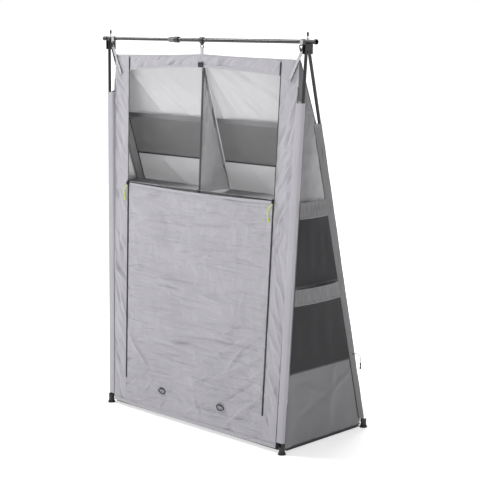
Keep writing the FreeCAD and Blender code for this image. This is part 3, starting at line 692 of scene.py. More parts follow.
# %% Lay a sheet
def select_only(obj):
    deselect()
    obj.select_set(True)
    bpy.context.view_layer.objects.active = obj


press = 3.4         # how hard the creases are pressed
cuts = {}           # the flat width, length and area that each sheet is cut to


def run_of(points):
    return sum((b - a).length for a, b in zip(points, points[1:]))


def lay_sheet(name, place, width, length, finish, grid=9 * mm, out=None, creases=(), sewn="LRTB",
              fade=30 * mm, crumple=0.0, spot=None, flat_edges=None):
    """A grid of cloth. place(u, v) is the point u across and v up, each from 0 to 1.

    Creases move the cloth along out, or in and out of the sheet, and fade towards the sewn edges
    (some of L, R, T and B), whose points are pinned for the solver. spot(point) is the place of a
    point among the creases, where two sheets share them, and flat_edges are the edges where they
    fade, if those aren't all the sewn ones."""
    across, up = max(2, round(width / grid)), max(2, round(length / grid))
    deselect()
    bpy.ops.mesh.primitive_grid_add(x_subdivisions=across, y_subdivisions=up, size=1)
    obj = bpy.context.object
    obj.name = name
    mesh = obj.data
    pins = obj.vertex_groups.new(name="sewn")
    cells = [(v.co.x + 0.5, v.co.y + 0.5) for v in mesh.vertices]
    flat = 0.5 / max(across, up)
    laid = [Vector(place(u, v)) for u, v in cells]
    for vertex, point in zip(mesh.vertices, laid):
        vertex.co = point
    mesh.update()
    rows = [laid[i:i + across + 1] for i in range(0, len(laid), across + 1)]
    cuts[name] = (max(run_of(row) for row in rows), max(run_of(column) for column in zip(*rows)),
                  sum(face.area for face in mesh.polygons))
    for vertex, point, (u, v) in zip(mesh.vertices, laid, cells):
        gaps = {"L": u * width, "R": (1 - u) * width, "B": v * length, "T": (1 - v) * length}
        gap = min([gaps[edge] for edge in sewn] or [fade])
        if gap < flat * min(width, length):
            pins.add([vertex.index], 1.0, "REPLACE")
        if out is not None:
            x, y = (u * width, v * length) if spot is None else spot(point)
            lift = press * sum(crease_height(x, y, *crease) for crease in creases)
            if crumple:
                lift += crumple * noise.fractal(Vector((x, y, 0.3)) * 22, 0.7, 2.2, 4)
            if flat_edges is not None:
                gap = min(gaps[edge] for edge in flat_edges)
            soft = min(1.0, gap / fade)
            point += Vector(out) * lift * soft * (2 - soft)
        vertex.co = point
    for loop in mesh.uv_layers.active.data:
        loop.uv = (loop.uv.x * width, loop.uv.y * length)
    mesh.uv_layers.active.name = "UVMap"
    mesh.materials.append(FINISH[finish])
    select_only(obj)
    bpy.ops.object.shade_smooth()
    return obj


# %% [markdown]
# ### Relaxing and finishing
# The cloth solver could make every fold by itself, but slowly and never in the same place. Here
# it only relaxes creases that are there already: very light cloth, hardly any gravity, few steps.

# %% Relax and finish sheets
waiting = []
settle_frames = 14


def wait_to_settle(obj, spare):
    """Give a sheet its cloth settings; spare is the share by which it is cut too large."""
    cloth = obj.modifiers.new("settle", "CLOTH")
    settings = cloth.settings
    settings.quality = 5
    settings.mass = 0.02
    settings.tension_stiffness = 25
    settings.compression_stiffness = 25
    settings.shear_stiffness = 8
    settings.bending_stiffness = 0.4
    settings.air_damping = 4
    settings.vertex_group_mass = "sewn"
    settings.shrink_min = -spare
    settings.shrink_max = -spare
    settings.effector_weights.gravity = 0.02
    cloth.collision_settings.use_collision = False
    cloth.point_cache.frame_end = settle_frames
    waiting.append(obj)


def settle_all(cap=6 * mm):
    """Step all the waiting sheets together, keep the result, and cap how far a point moved."""
    before = {obj.name: [v.co.copy() for v in obj.data.vertices] for obj in waiting}
    for step in range(1, settle_frames + 1):
        scene.frame_set(step)
    for obj in waiting:
        select_only(obj)
        bpy.ops.object.modifier_apply(modifier="settle")
        for vertex, start in zip(obj.data.vertices, before[obj.name]):
            move = vertex.co - start
            if move.length > cap:
                vertex.co = start + move.normalized() * cap
        print(obj.name, "settled,", len(obj.data.vertices), "points")
    scene.frame_set(1)
    waiting.clear()


def thicken(obj, thickness=0.5 * mm):
    select_only(obj)
    solid = obj.modifiers.new("thickness", "SOLIDIFY")
    solid.thickness = thickness
    solid.offset = 0.0
    solid.use_even_offset = False
    bpy.ops.object.modifier_apply(modifier="thickness")
    bpy.ops.object.shade_smooth_by_angle(angle=math.radians(50))


def dress(obj, body, slot, *nodes):
    """Attach a piece to the body it rides on, and hide the frame's nodes that it stands for. The slot is not
    used.
    """
    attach(obj, body)
    if nodes:
        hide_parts(*nodes)


def mix(a, b, t):
    return a + (b - a) * t


# %% [markdown]
# ## The door
# The lower half of the door is zipped up to its edges on both sides, and its upper half is tucked
# in behind. Its folded upper edge sags between the sliders. Zipped cloth is a little longer than
# the zip beside it, so drag lines run inwards from both zips, nearly level, and the cloth near
# the floor is the most crumpled.

# %% Door cloth
zip_gap = zip_half + 0.2 * mm
door_low = zip_low_z + 0.3 * mm
door_sag = 7 * mm
door_wide, door_tall = 2 * zip_x(door_top) - 2 * zip_gap, door_top - door_low
sheet_inset = 0.75 * mm


def door_place(u, v):
    z = mix(door_low, door_top, v)
    side = 2 * u - 1
    z -= door_sag * (1 - side * side) * v ** 3
    return side * (zip_x(z) - zip_gap), panel_y(z) + sheet_inset, z


door_creases = [
    ((0.00, 0.66), (0.30, 0.60), 0.014, 0.0022), ((0.02, 0.75), (0.26, 0.70), 0.010, 0.0018),
    ((0.00, 0.50), (0.62, 0.41), 0.013, 0.0020), ((0.10, 0.40), (0.80, 0.33), 0.016, -0.0020),
    ((0.45, 0.58), (0.83, 0.64), 0.014, 0.0022), ((0.40, 0.72), (0.84, 0.78), 0.018, 0.0022),
    ((0.05, 0.80), (0.55, 0.82), 0.014, -0.0016), ((0.50, 0.43), (0.84, 0.50), 0.012, -0.0018),
    ((0.00, 0.33), (0.50, 0.27), 0.012, 0.0020), ((0.36, 0.25), (0.84, 0.33), 0.014, 0.0020),
    ((0.00, 0.22), (0.16, 0.06), 0.009, 0.0018), ((0.84, 0.24), (0.52, 0.08), 0.010, 0.0020),
    ((0.84, 0.16), (0.60, 0.00), 0.009, -0.0018), ((0.30, 0.10), (0.66, 0.13), 0.010, 0.0018),
    ((0.86, 0.10), (0.62, -0.09), 0.009, 0.0018), ((0.84, 0.34), (0.56, 0.20), 0.011, 0.0018),
]
door_creases += scatter_creases(3, 84, door_wide, door_tall, (1, 9), (0.12, 0.46), (0.005, 0.011),
                                (0.0003, 0.0011))
door_creases += scatter_creases(4, 50, door_wide, 0.32, (6, 22), (0.06, 0.22), (0.0045, 0.009),
                                (0.0003, 0.0010))
door_creases += moved(scatter_creases(5, 36, door_wide, 0.12, (10, 24), (0.05, 0.20), (0.0045, 0.009),
                                      (0.0004, 0.0011)), 0, -0.12)
door_creases = [(a, b, 0.8 * wide, high * (1.4 if high > 0 else 1.0)) for a, b, wide, high in door_creases]


def door_spot(point):
    return point.x + door_wide / 2, point.z - door_low


door = lay_sheet("door_cloth", door_place, door_wide, door_tall, "door_fabric", 5 * mm, (0, -1, 0),
                 door_creases, fade=16 * mm, crumple=1.1 * mm, spot=door_spot, flat_edges="LRT")
wait_to_settle(door, 0.006)

# %% [markdown]
# ## The panel below the door
# One panel runs below the zips from seam to seam. It holds two tie loops for the rolled door and
# ends in a hem near the ground. The pull of the corners crosses it in slanting folds.

# %% Base cloth
base_half = zip_x(zip_low_z) + zip_half
base_tall = zip_low_z - hem_z


def base_place(u, v):
    z = mix(hem_z, zip_low_z, v)
    x = (2 * u - 1) * base_half
    return x, panel_y(z) + sheet_inset + 0.3 * mm, z - 3 * mm * (1 - v) * math.sin(math.pi * u)


base = lay_sheet("base_cloth", base_place, 2 * base_half, base_tall, "door_fabric", 5 * mm, (0, -1, 0),
                 door_creases, fade=12 * mm, crumple=1.1 * mm, spot=door_spot, flat_edges="LRB")
wait_to_settle(base, 0.006)

# %% [markdown]
# ## The stiles
# A stile fills the strip between a zip and the corner seam. The zip pulls on it, so short drag
# lines slant up and outwards from the zip all the way.

# %% Stile cloths
stile_tall = ridge_z - hem_z


def stile_outer(z):
    if z <= sleeve_high.z:
        return stile_x(z) + 1.6 * mm
    return straight(z, (sleeve_high.z, stile_x(z) + 1.6 * mm), (ridge_z, ridge_half))


def stile_place(side):
    def place(u, v):
        z = mix(hem_z, ridge_z, v)
        x = mix(zip_x(max(z, zip_low_z)) + zip_gap, stile_outer(z), u)
        return SIDES[side] * x, panel_y(z) + sheet_inset, z
    return place


stiles = {}
stile_wide = stile_outer(0.8) - zip_x(0.8) - zip_gap
for side, seed in (("left", 6), ("right", 7)):
    slant = (66, 9) if side == "left" else (112, 9)
    half = stile_tall / 2
    lower = scatter_creases(seed, 36, stile_wide, half, slant, (0.05, 0.17), (0.004, 0.008), (0.0006, 0.0020))
    upper = scatter_creases(seed + 20, 34, stile_wide, half, (66, 9), (0.05, 0.17), (0.004, 0.008),
                            (0.0006, 0.0020))
    folds = lower + moved(upper, 0, half)
    stiles[side] = lay_sheet(f"stile_cloth_{side}", stile_place(side), stile_wide, stile_tall, "front_fabric",
                             5 * mm, (0, -1, 0), folds, fade=7 * mm, crumple=0.6 * mm)
    wait_to_settle(stiles[side], 0.004)

# %% [markdown]
# ## The header
# The band above the opening hangs from the ridge, highest where the middle strap lifts it. Its
# lower edge is a stitched hem, and the pull of the strap and the corners crosses it in slanting
# lines.

# %% Header cloth
header_low, header_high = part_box("header_panel")
header_rise = 20 * mm       # the hem is this much higher in the middle
ridge_rise = header_high.z - ridge_z


def ridge_top(x):
    """Height of the ridge at x, slack between the corners and the middle strap."""
    share = 1 - abs(x) / ridge_half
    return ridge_z + ridge_rise * (0.55 * share + 0.45 * share ** 4)


def header_hem(x):
    share = max(0.0, 1 - abs(x) / header_high.x)
    return header_low.z + header_rise * math.sin(math.pi / 2 * share) ** 1.2


def header_place(u, v):
    side = 2 * u - 1
    x = side * mix(zip_x(header_low.z), zip_x(ridge_z), v) - side * zip_gap
    z = mix(header_hem(x), ridge_top(x), v)
    return x, panel_y(z) + sheet_inset, z


header_wide, header_tall = 2 * zip_x(1.5) - 2 * zip_gap, 56 * mm
folds = scatter_creases(8, 46, header_wide, header_tall, (34, 9), (0.04, 0.12), (0.004, 0.009),
                        (0.0004, 0.0011))
header = lay_sheet("header_cloth", header_place, header_wide, header_tall, "front_fabric", 5 * mm, (0, -1, 0),
                   folds, fade=10 * mm)
wait_to_settle(header, 0.004)

# %% [markdown]
# ## Side panels
# Each side hangs between a front and a rear sleeve and folds in to the end of the ridge above
# them. It is the darker cloth, and light shines through its upper half.

# %% Side cloths
corner_share = 0.86         # how far up the sheet the front sleeve ends
side_out = leg_radius + 1.2 * mm


def side_edge(side, edge, top, v):
    """A point on one upright edge of a side panel: up its sleeve, then in to the ridge's corner."""
    if v < corner_share:
        z = mix(hem_z, top, v / corner_share)
        tuck = 3 * mm if edge is side_rear else -3 * mm
        return Vector((SIDES[side] * (leg_x(z) + side_out), edge(z) + tuck, z))
    share = (v - corner_share) / (1 - corner_share)
    z = mix(top, ridge_z, share)
    sewn = Vector((SIDES[side] * (leg_x(top) + side_out), edge(top), z))
    if edge is side_rear:
        x, y = straight(z, (top, leg_x(top) - sleeve_half), (ridge_z, ridge_half)), back_y(z) - 1 * mm
    else:
        x, y = stile_outer(z) + 0.6 * mm, panel_y(z) + 2 * mm
    return sewn.lerp(Vector((SIDES[side] * x, y, z)), min(1.0, share / 0.05))


side_wide, side_tall = side_rear(0.7) - side_front(0.7), ridge_z - hem_z
sides = {}
for side, seed in (("left", 9), ("right", 10)):
    def side_place(u, v, side=side):
        front = side_edge(side, side_front, sleeve_high.z, v)
        rear = side_edge(side, side_rear, rear_sleeve_high.z, v)
        return front.lerp(rear, u)
    folds = scatter_creases(seed, 26, side_wide, side_tall, (86, 7), (0.15, 0.5), (0.008, 0.018),
                            (0.0005, 0.0014))
    folds += [((0.05, 0.24), (0.14, 0.17), 0.006, 0.0016), ((0.14, 0.17), (0.25, 0.27), 0.006, 0.0016),
              ((0.04, 0.10), (0.16, 0.20), 0.009, -0.0012)]
    sides[side] = lay_sheet(f"side_cloth_{side}", side_place, side_wide, side_tall, "side_fabric", 9 * mm,
                            (SIDES[side], 0, 0), folds, fade=16 * mm, crumple=0.5 * mm)
    wait_to_settle(sides[side], 0.004)

# %% [markdown]
# ## Rear panel
# The back is one light sheet. From inside it shows long drag lines that fall from the top seam,
# because the ridge carries its weight.

# %% Rear cloth
boot_room = 18 * mm


def rear_half(z):
    if z > rear_sleeve_high.z:
        top = leg_x(rear_sleeve_high.z) - sleeve_half
        return straight(z, (rear_sleeve_high.z, top), (back_high.z, ridge_half))
    low = rear_sleeve_low.z
    return leg_x(z) - mix(sleeve_half, boot_room, min(1.0, max(0.0, (low + 6 * mm - z) / (12 * mm))))


def rear_place(u, v):
    z = mix(back_low.z, back_high.z, v)
    x = (2 * u - 1) * rear_half(z)
    lift = ridge_top(x) - ridge_z
    return x, back_y(z) + sheet_inset, z + lift * v ** 6


rear_wide, rear_tall = 2 * rear_half(0.8), math.hypot(back_high.z - back_low.z, back_high.y - back_low.y)
rear_creases = [
    ((0.02, 1.55), (0.52, 1.02), 0.016, 0.0040), ((0.12, 1.56), (0.50, 1.22), 0.012, 0.0030),
    ((0.24, 1.56), (0.52, 1.34), 0.012, -0.0030), ((0.52, 1.57), (0.78, 1.18), 0.014, 0.0040),
    ((0.54, 1.57), (0.92, 1.24), 0.014, 0.0040), ((0.60, 1.57), (1.02, 1.36), 0.013, -0.0035),
    ((0.53, 1.50), (0.68, 1.05), 0.013, 0.0035), ((0.05, 1.20), (0.40, 0.90), 0.018, 0.0030),
]
rear_creases += scatter_creases(11, 26, rear_wide, rear_tall, (-48, 14), (0.15, 0.5), (0.010, 0.020),
                                (0.0008, 0.0022))
rear_creases += scatter_creases(12, 16, rear_wide, rear_tall * 0.8, (88, 5), (0.12, 0.3), (0.009, 0.015),
                                (0.0010, 0.0022))
rear = lay_sheet("rear_cloth", rear_place, rear_wide, rear_tall, "rear_fabric", 11 * mm, (0, -1, 0),
                 rear_creases, fade=20 * mm)
wait_to_settle(rear, 0.003)

# %% [markdown]
# ## Divider, shelf and floor
# The divider stands between the two upper compartments, the shelf carries it, and the floor closes
# the body below. The shelf sags a little between its sewn edges.

# %% Divider cloth
divider_low, divider_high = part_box("divider")
inside_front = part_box("divider_tape")[0].y - panel_y(divider_low.z) + 8 * mm


def divider_place(u, v):
    z = mix(divider_low.z, divider_high.z, v)
    return 0.0, mix(panel_y(z) + inside_front + 1.5 * mm, back_y(z) - 1.2 * mm, u), z


divider_wide, divider_tall = back_y(1.2) - panel_y(1.2), divider_high.z - divider_low.z
folds = scatter_creases(13, 12, divider_wide, divider_tall, (84, 6), (0.15, 0.4), (0.010, 0.018),
                        (0.0015, 0.0035))
divider = lay_sheet("divider_cloth", divider_place, divider_wide, divider_tall, "side_fabric", 9 * mm,
                    (1, 0, 0), folds, fade=14 * mm)
wait_to_settle(divider, 0.004)


# %% [markdown]
# ### Shelf and floor
# Both are level sheets whose corners step round the poles. The shelf's front hem curls up a
# little, because the piping in it is stiffer than the cloth.

# %% Shelf and floor cloths
def shelf_curl(depth):
    """How much the shelf's front hem stands up, at a depth behind its edge."""
    return 13 * mm * max(0.0, 1 - depth / (39 * mm)) ** 2


def level_place(z, sag, front_room, rear_room, outer, curl=None, front_gap=5 * mm):
    """A level sheet whose corners step round the sleeves or the boots."""
    half = leg_x(z) + outer

    def edge(x, inner, stepped, room):
        share = min(1.0, max(0.0, (abs(x) - (leg_x(z) - room) + 3 * mm) / (6 * mm)))
        return mix(inner, stepped, share)

    def place(u, v):
        x = (2 * u - 1) * half
        front = edge(x, panel_y(z) + front_gap, front_y(z) + front_room[1], front_room[0])
        rear_edge = edge(x, back_y(z) - 0.3 * mm, rear_y(z) - rear_room[1], rear_room[0])
        drop = sag * math.sin(math.pi * u) ** 0.8 * math.sin(math.pi * v) ** 0.8
        rise = curl(v * (rear_edge - front)) if curl else 0.0
        return x, mix(front, rear_edge, v), z - drop + rise
    return place, 2 * half


shelf_low, shelf_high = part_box("shelf_panel")
shelf_z = (shelf_low.z + shelf_high.z) / 2
place, shelf_wide = level_place(shelf_z, 9 * mm, (31.5 * mm, 9 * mm), (9 * mm, 38 * mm), 6 * mm, shelf_curl)
shelf_deep = shelf_high.y - shelf_low.y
folds = scatter_creases(14, 18, shelf_wide, shelf_deep, (20, 60), (0.06, 0.2), (0.010, 0.018),
                        (0.0004, 0.0012))
shelf = lay_sheet("shelf_cloth", place, shelf_wide, shelf_deep, "shelf_painted_light", 9 * mm, (0, 0, 1), folds,
                  fade=14 * mm)
wait_to_settle(shelf, 0.003)
floor_low, floor_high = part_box("floor_panel")
place, floor_wide = level_place(floor_high.z - 0.6 * mm, 0.0, (21 * mm, 21 * mm), (21 * mm, 21 * mm), 6 * mm,
                                front_gap=12 * mm)
folds = scatter_creases(15, 20, floor_wide, 0.45, (0, 90), (0.06, 0.2), (0.010, 0.018), (0.0004, 0.0010))
ground_cloth = lay_sheet("floor_cloth", place, floor_wide, floor_high.y - floor_low.y, "floor_fabric",
                         12 * mm, (0, 0, -1), folds, fade=14 * mm)

# %% [markdown]
# ## Leg sleeves
# A sleeve is a flat tube of cloth round a leg. Its cross-section is a soft rectangle, laid from
# the hem near the boot to the open upper end, where the pole leaves it.

# %% Sleeve cloths
def soft_ring(turn, half_x, half_y, square=0.55):
    """A point on a rounded rectangle; square is 1 for an ellipse and less for squarer corners."""
    c, s = math.cos(turn), math.sin(turn)
    return math.copysign(abs(c) ** square, c) * half_x, math.copysign(abs(s) ** square, s) * half_y


def front_sleeve_place(side):
    def place(u, v):
        z = mix(sleeve_low.z, sleeve_high.z, v)
        x, y = soft_ring(2 * math.pi * u, front_sleeve_width / 2 - 0.4 * mm, sleeve_half - 0.4 * mm)
        slack = 0.8 * mm * noise.noise(Vector((4 * u, 14 * z, 3)))
        centre = leg_x(z) + sleeve_half - front_sleeve_width / 2
        return SIDES[side] * (centre + x - slack), front_y(z) + y - slack, z
    return place


def rear_sleeve_place(side):
    def place(u, v):
        z = mix(rear_sleeve_low.z, rear_sleeve_high.z, v)
        half = rear_sleeve_width(z) / 2
        x, y = soft_ring(2 * math.pi * u, sleeve_half - 0.4 * mm, half - 0.4 * mm)
        slack = 0.8 * mm * noise.noise(Vector((4 * u, 14 * z, 8)))
        return SIDES[side] * (leg_x(z) + x - slack), rear_y(z) + sleeve_half - half + y - slack, z
    return place


sleeves = {}
for side in SIDES:
    round_front = 2 * (front_sleeve_width + 2 * sleeve_half) * 0.93
    sleeves["front", side] = lay_sheet(f"sleeve_cloth_front_{side}", front_sleeve_place(side), round_front,
                                       sleeve_high.z - sleeve_low.z, "front_fabric", 5 * mm, sewn="")
    round_rear = 2 * (45 * mm + 2 * sleeve_half) * 0.93
    sleeves["rear", side] = lay_sheet(f"sleeve_cloth_rear_{side}", rear_sleeve_place(side), round_rear,
                                      rear_sleeve_high.z - rear_sleeve_low.z, "side_fabric", 6 * mm, sewn="")
for obj in sleeves.values():
    select_only(obj)
    bpy.ops.object.mode_set(mode="EDIT")
    bpy.ops.mesh.select_all(action="SELECT")
    bpy.ops.mesh.remove_doubles(threshold=0.05 * mm)
    bpy.ops.mesh.normals_make_consistent(inside=False)
    bpy.ops.object.mode_set(mode="OBJECT")

# %% [markdown]
# ## Side pockets
# Two net pockets sit one above the other on each side. Each is sewn on along its foot and both
# edges and bows out at its mouth, where a band of cloth is gathered on elastic.

# %% Pocket cloths
band_tall = 62 * mm
mouth_gap = 18 * mm
pocket_spans = {"upper": (660 * mm, 995 * mm), "lower": (318 * mm, 655 * mm)}
net_folds = scatter_creases(31, 9, 0.34, 0.30, (70, 40), (0.10, 0.26), (0.003, 0.005), (0.0004, 0.0007))
pocket_pieces = {side: [] for side in SIDES}
band_pieces = {side: [] for side in SIDES}


def pocket_place(side, low, high, z0, z1, gathered):
    def place(u, v):
        z = mix(z0, z1, v)
        share = (z - low) / (high - low)
        bow = mouth_gap * share ** 1.3 * math.sin(math.pi * u) ** 0.45
        if gathered:
            squeeze = 0.55 + 0.45 * math.cos(math.pi * (v - 0.5)) ** 2
            uneven = 0.5 * noise.noise(Vector((u * 9, low, 1)))
            bow += 1.9 * mm * squeeze * math.sin(2 * math.pi * (u * 17 + uneven))
            bow += 1.2 * mm * math.sin(2 * math.pi * u * 7.3 + 4 * v)
        else:
            bow += 1.6 * mm * math.sin(2 * math.pi * (u * 3.4 + 0.2 * v)) * math.sin(math.pi * v)
        x = leg_x(z) + sleeve_half + 0.8 * mm + max(0.0, bow) * math.sin(math.pi * min(1, max(0, u))) ** 0.2
        return SIDES[side] * x, mix(side_front(z), side_rear(z), u), z
    return place


for side in SIDES:
    for level, (low, high) in pocket_spans.items():
        split = high - band_tall
        wide = side_rear((low + high) / 2) - side_front((low + high) / 2)
        net_rule = pocket_place(side, low, high, low, split, False)
        band_rule = pocket_place(side, low, high, split, high, True)
        pocket_pieces[side].append(lay_sheet(f"pocket_net_{level}_{side}", net_rule, wide, split - low, "mesh",
                                             8 * mm, (SIDES[side], 0, 0), net_folds, fade=20 * mm))
        band_pieces[side].append(lay_sheet(f"pocket_band_{level}_{side}", band_rule, wide * 1.15, band_tall,
                                           "side_fabric", 4 * mm))

# %% [markdown]
# ## Rear pockets
# Inside, on the rear panel, a net pocket spans each compartment. An elastic hem runs along its
# mouth, and its foot is bound with dark tape.

# %% Rear pocket cloths
rear_hem_tall = 20 * mm
pocket_low, pocket_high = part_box("rear_pocket_right")[0].z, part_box("rear_pocket_hems")[1].z
pocket_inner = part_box("rear_pocket_right")[0].x
rear_pockets = {}
rear_hems = {}


def rear_pocket_place(side, z0, z1, bow_more=0.0):
    def place(u, v):
        z = mix(z0, z1, v)
        outer = leg_x(z) - sleeve_half - 6 * mm
        share = (z - pocket_low) / (pocket_high - pocket_low)
        bow = 12 * mm * share ** 1.2 * math.sin(math.pi * u) ** 0.5 + bow_more * math.sin(math.pi * u) ** 0.3
        bow += 1.5 * mm * math.sin(2 * math.pi * (2.6 * u + 0.3 * v)) * math.sin(math.pi * u) * share
        return SIDES[side] * mix(pocket_inner, outer, u), back_y(z) - 1 * mm - max(0.0, bow), z
    return place


for side in SIDES:
    split = pocket_high - rear_hem_tall
    wide = leg_x(1.19) - sleeve_half - 6 * mm - pocket_inner
    rear_pockets[side] = lay_sheet(f"rear_net_{side}", rear_pocket_place(side, pocket_low, split), wide,
                                   split - pocket_low, "rear_mesh", 10 * mm)
    rear_hems[side] = lay_sheet(f"rear_net_hem_{side}", rear_pocket_place(side, split, pocket_high, 0.8 * mm),
                                wide * 1.05, rear_hem_tall, "side_fabric", 4 * mm)

# %% [markdown]
# ## Ridge and flap
# Front and rear cloth meet over the top in a folded seam. The door's upper half hangs flat behind
# the lower half, from the fold down.

# %% Ridge cloth and flap cloth
def ridge_place(u, v):
    x = (2 * u - 1) * ridge_half
    turn = math.pi * v
    z = ridge_top(x) - 2 * mm
    front, back = panel_y(ridge_z) + 0.2 * mm, back_y(ridge_z) + 1.2 * mm
    bead = 0.3 * mm * math.sin(2 * math.pi * u * 160)
    return x, mix(front, back, (1 - math.cos(turn)) / 2), z + (4.6 * mm + bead) * math.sin(turn)


ridge = lay_sheet("ridge_cloth", ridge_place, 2 * ridge_half, 20 * mm, "front_fabric", 4 * mm, sewn="")
flap_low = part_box("door_flap")[0].z


def flap_place(u, v):
    z = mix(flap_low, door_top - 1 * mm, v)
    side = 2 * u - 1
    z -= door_sag * (1 - side * side) * v ** 3
    bow = 1.5 * mm * math.sin(math.pi * u) * (1 - v) * math.sin(5 * u + 3 * v)
    behind = 3.2 * mm + abs(bow) + 7 * mm * min(1.0, 5 * (1 - v))
    return side * (zip_x(z) - zip_half - 0.6 * mm), panel_y(z) + behind, z


flap_wide, flap_tall = 2 * zip_x(flap_low) - 2 * zip_half, door_top - flap_low
flap = lay_sheet("flap_cloth", flap_place, flap_wide, flap_tall, "front_fabric", 12 * mm, sewn="T")

# %% [markdown]
# ## Let the cloth settle
# All the waiting panels go through the solver together, then every sheet gets its thickness.

# %% Settle and thicken
settle_all()
for vertex in rear.data.vertices:
    if pocket_low - 20 * mm < vertex.co.z < pocket_high + 4 * mm:
        vertex.co.y = max(vertex.co.y, back_y(vertex.co.z) - 0.2 * mm)
for side, sign in SIDES.items():
    for vertex in sides[side].data.vertices:
        z = vertex.co.z
        if pocket_spans["lower"][0] - 12 * mm < z < pocket_spans["upper"][1] + 8 * mm:
            vertex.co.x = sign * min(sign * vertex.co.x, leg_x(z) + side_out + 0.6 * mm)
sheets = [door, base, header, rear, divider, shelf, ground_cloth, ridge, flap, *stiles.values(),
          *sides.values(), *sleeves.values(), *rear_pockets.values(), *rear_hems.values()]
for side in SIDES:
    sheets += pocket_pieces[side] + band_pieces[side]
for side, sign in SIDES.items():
    for piece in pocket_pieces[side] + band_pieces[side]:
        for vertex in piece.data.vertices:
            vertex.co.x = sign * max(sign * vertex.co.x, leg_x(vertex.co.z) + side_out + 2.4 * mm)
for obj in sheets:
    net_like = obj.data.materials[0] in (FINISH["mesh"], FINISH["rear_mesh"])
    if not net_like:
        thicken(obj)
print(len(sheets), "sheets,", sum(len(o.data.polygons) for o in sheets), "faces")

# %% [markdown]
# ## Dress the sheets
# Each sheet rides on the body that its seams are on. The side panels, the shelf, the floor and the
# divider are sewn to both frames: they stay with the front frame.

# %% Dress the sheets
pivot_z = 1562 * mm                      # the legs turn about their rivets here
fold_anchor = (0.0, front_y(pivot_z), pivot_z)


def fold_flat(obj):
    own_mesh(obj)


def fold_sleeve(obj):
    """Give a rear sleeve or its lining a mesh of its own."""
    z = 700 * mm
    rear_y(z) + sleeve_half
    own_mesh(obj)


def fold_pocket(obj):
    """Give a rear pocket a mesh of its own."""
    z = 1190 * mm
    back_y(z)
    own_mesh(obj)


dress(door, "door", "front_fabric", "door_panel")
dress(flap, "door_flap", "front_fabric", "door_flap")
dress(base, "front_frame", "front_fabric", "base_panel")
dress(header, "front_frame", "front_fabric", "header_panel")
dress(ridge, "front_frame", "front_fabric", "ridge_seam")
dress(rear, "rear_frame", "rear_fabric", "rear_panel")
dress(divider, "front_frame", "side_fabric", "divider")
dress(shelf, "front_frame", "side_fabric", "shelf_panel")
dress(ground_cloth, "front_frame", "floor_fabric", "floor_panel")
for obj in (divider, shelf, ground_cloth):
    fold_flat(obj)
for side in SIDES:
    dress(stiles[side], "front_frame", "front_fabric", f"front_stile_{side}")
    dress(sides[side], "front_frame", "side_fabric", f"side_panel_{side}")
    dress(sleeves["front", side], "front_frame", "front_fabric", f"front_sleeve_{side}")
    dress(sleeves["rear", side], "rear_frame", "side_fabric", f"rear_sleeve_{side}")
    dress(rear_pockets[side], "rear_frame", "mesh", f"rear_pocket_{side}")
    dress(rear_hems[side], "rear_frame", "side_fabric", "rear_pocket_hems")
    fold_flat(sides[side])
    fold_sleeve(sleeves["rear", side])
    for obj in (rear_pockets[side], rear_hems[side]):
        fold_pocket(obj)
    for obj in pocket_pieces[side]:
        dress(obj, "front_frame", "mesh", f"side_pockets_{side}")
        fold_flat(obj)
    for obj in band_pieces[side]:
        dress(obj, "front_frame", "side_fabric", f"side_pocket_bands_{side}")
        fold_flat(obj)

# %% [markdown]
# ### Flat sizes
# A sheet also has a size before it is hung, which was noted when it was laid. Each sheet's flat
# width and length are printed.

def declare(obj, held, *rests_on):
    wide, tall, area = cuts[obj.name]
    print(obj.name, "flat", round(wide, 3), "by", round(tall, 3), "m")


declare(door, "stretched", "zip_slider_left", "zip_slider_right")
declare(flap, "hung", "door_cloth")
declare(base, "stretched", "stile_cloth_left", "stile_cloth_right")
declare(header, "hung", "ridge_cloth")
declare(ridge, "folded", "header_cloth", "rear_cloth")
declare(rear, "hung", "ridge_cloth")
declare(divider, "hung", "ridge_cloth", "shelf_cloth")
declare(shelf, "stretched", "side_cloth_left", "side_cloth_right")
declare(ground_cloth, "laid", "side_cloth_left", "side_cloth_right")
for side in SIDES:
    declare(stiles[side], "stretched", f"sleeve_cloth_front_{side}")
    declare(sides[side], "stretched", f"sleeve_cloth_front_{side}", f"sleeve_cloth_rear_{side}")
    declare(sleeves["front", side], "stretched", f"front_leg_{side}")
    declare(sleeves["rear", side], "stretched", f"rear_leg_{side}")
    declare(rear_pockets[side], "stretched", "rear_cloth")
    declare(rear_hems[side], "gathered", f"rear_net_{side}")
    for net_piece, band in zip(pocket_pieces[side], band_pieces[side]):
        declare(net_piece, "stretched", f"side_cloth_{side}")
        declare(band, "gathered", net_piece.name)

# %% [markdown]
# ## Beads, stitches and strips
# The fabric's edges are finished by small things: round beads along seams, rows of stitches and
# narrow strips of tape. A bead is a curve with a bevel, turned into a mesh. One stitch is made
# from a bevelled cube, and each row is one mesh of copies of it.

# %% Trim helpers
def bead(name, points, radius, finish, closed=False, smooth=2, taper=(1.0, 1.0)):
    """A round bead through points, as a mesh. taper is its size at the first and last point."""
    curve = bpy.data.curves.new(name, "CURVE")
    curve.dimensions = "3D"
    curve.bevel_depth = radius
    curve.bevel_resolution = smooth
    curve.use_fill_caps = True
    spline = curve.splines.new("POLY")
    spline.points.add(len(points) - 1)
    for i, (node, point) in enumerate(zip(spline.points, points)):
        node.co = (*point, 1)
        node.radius = mix(*taper, i / (len(points) - 1))
    spline.use_cyclic_u = closed
    obj = bpy.data.objects.new(name, curve)
    scene.collection.objects.link(obj)
    select_only(obj)
    bpy.ops.object.convert(target="MESH")
    obj = bpy.context.object
    obj.data.materials.clear()
    obj.data.materials.append(FINISH[finish])
    bpy.ops.object.shade_smooth()
    return obj


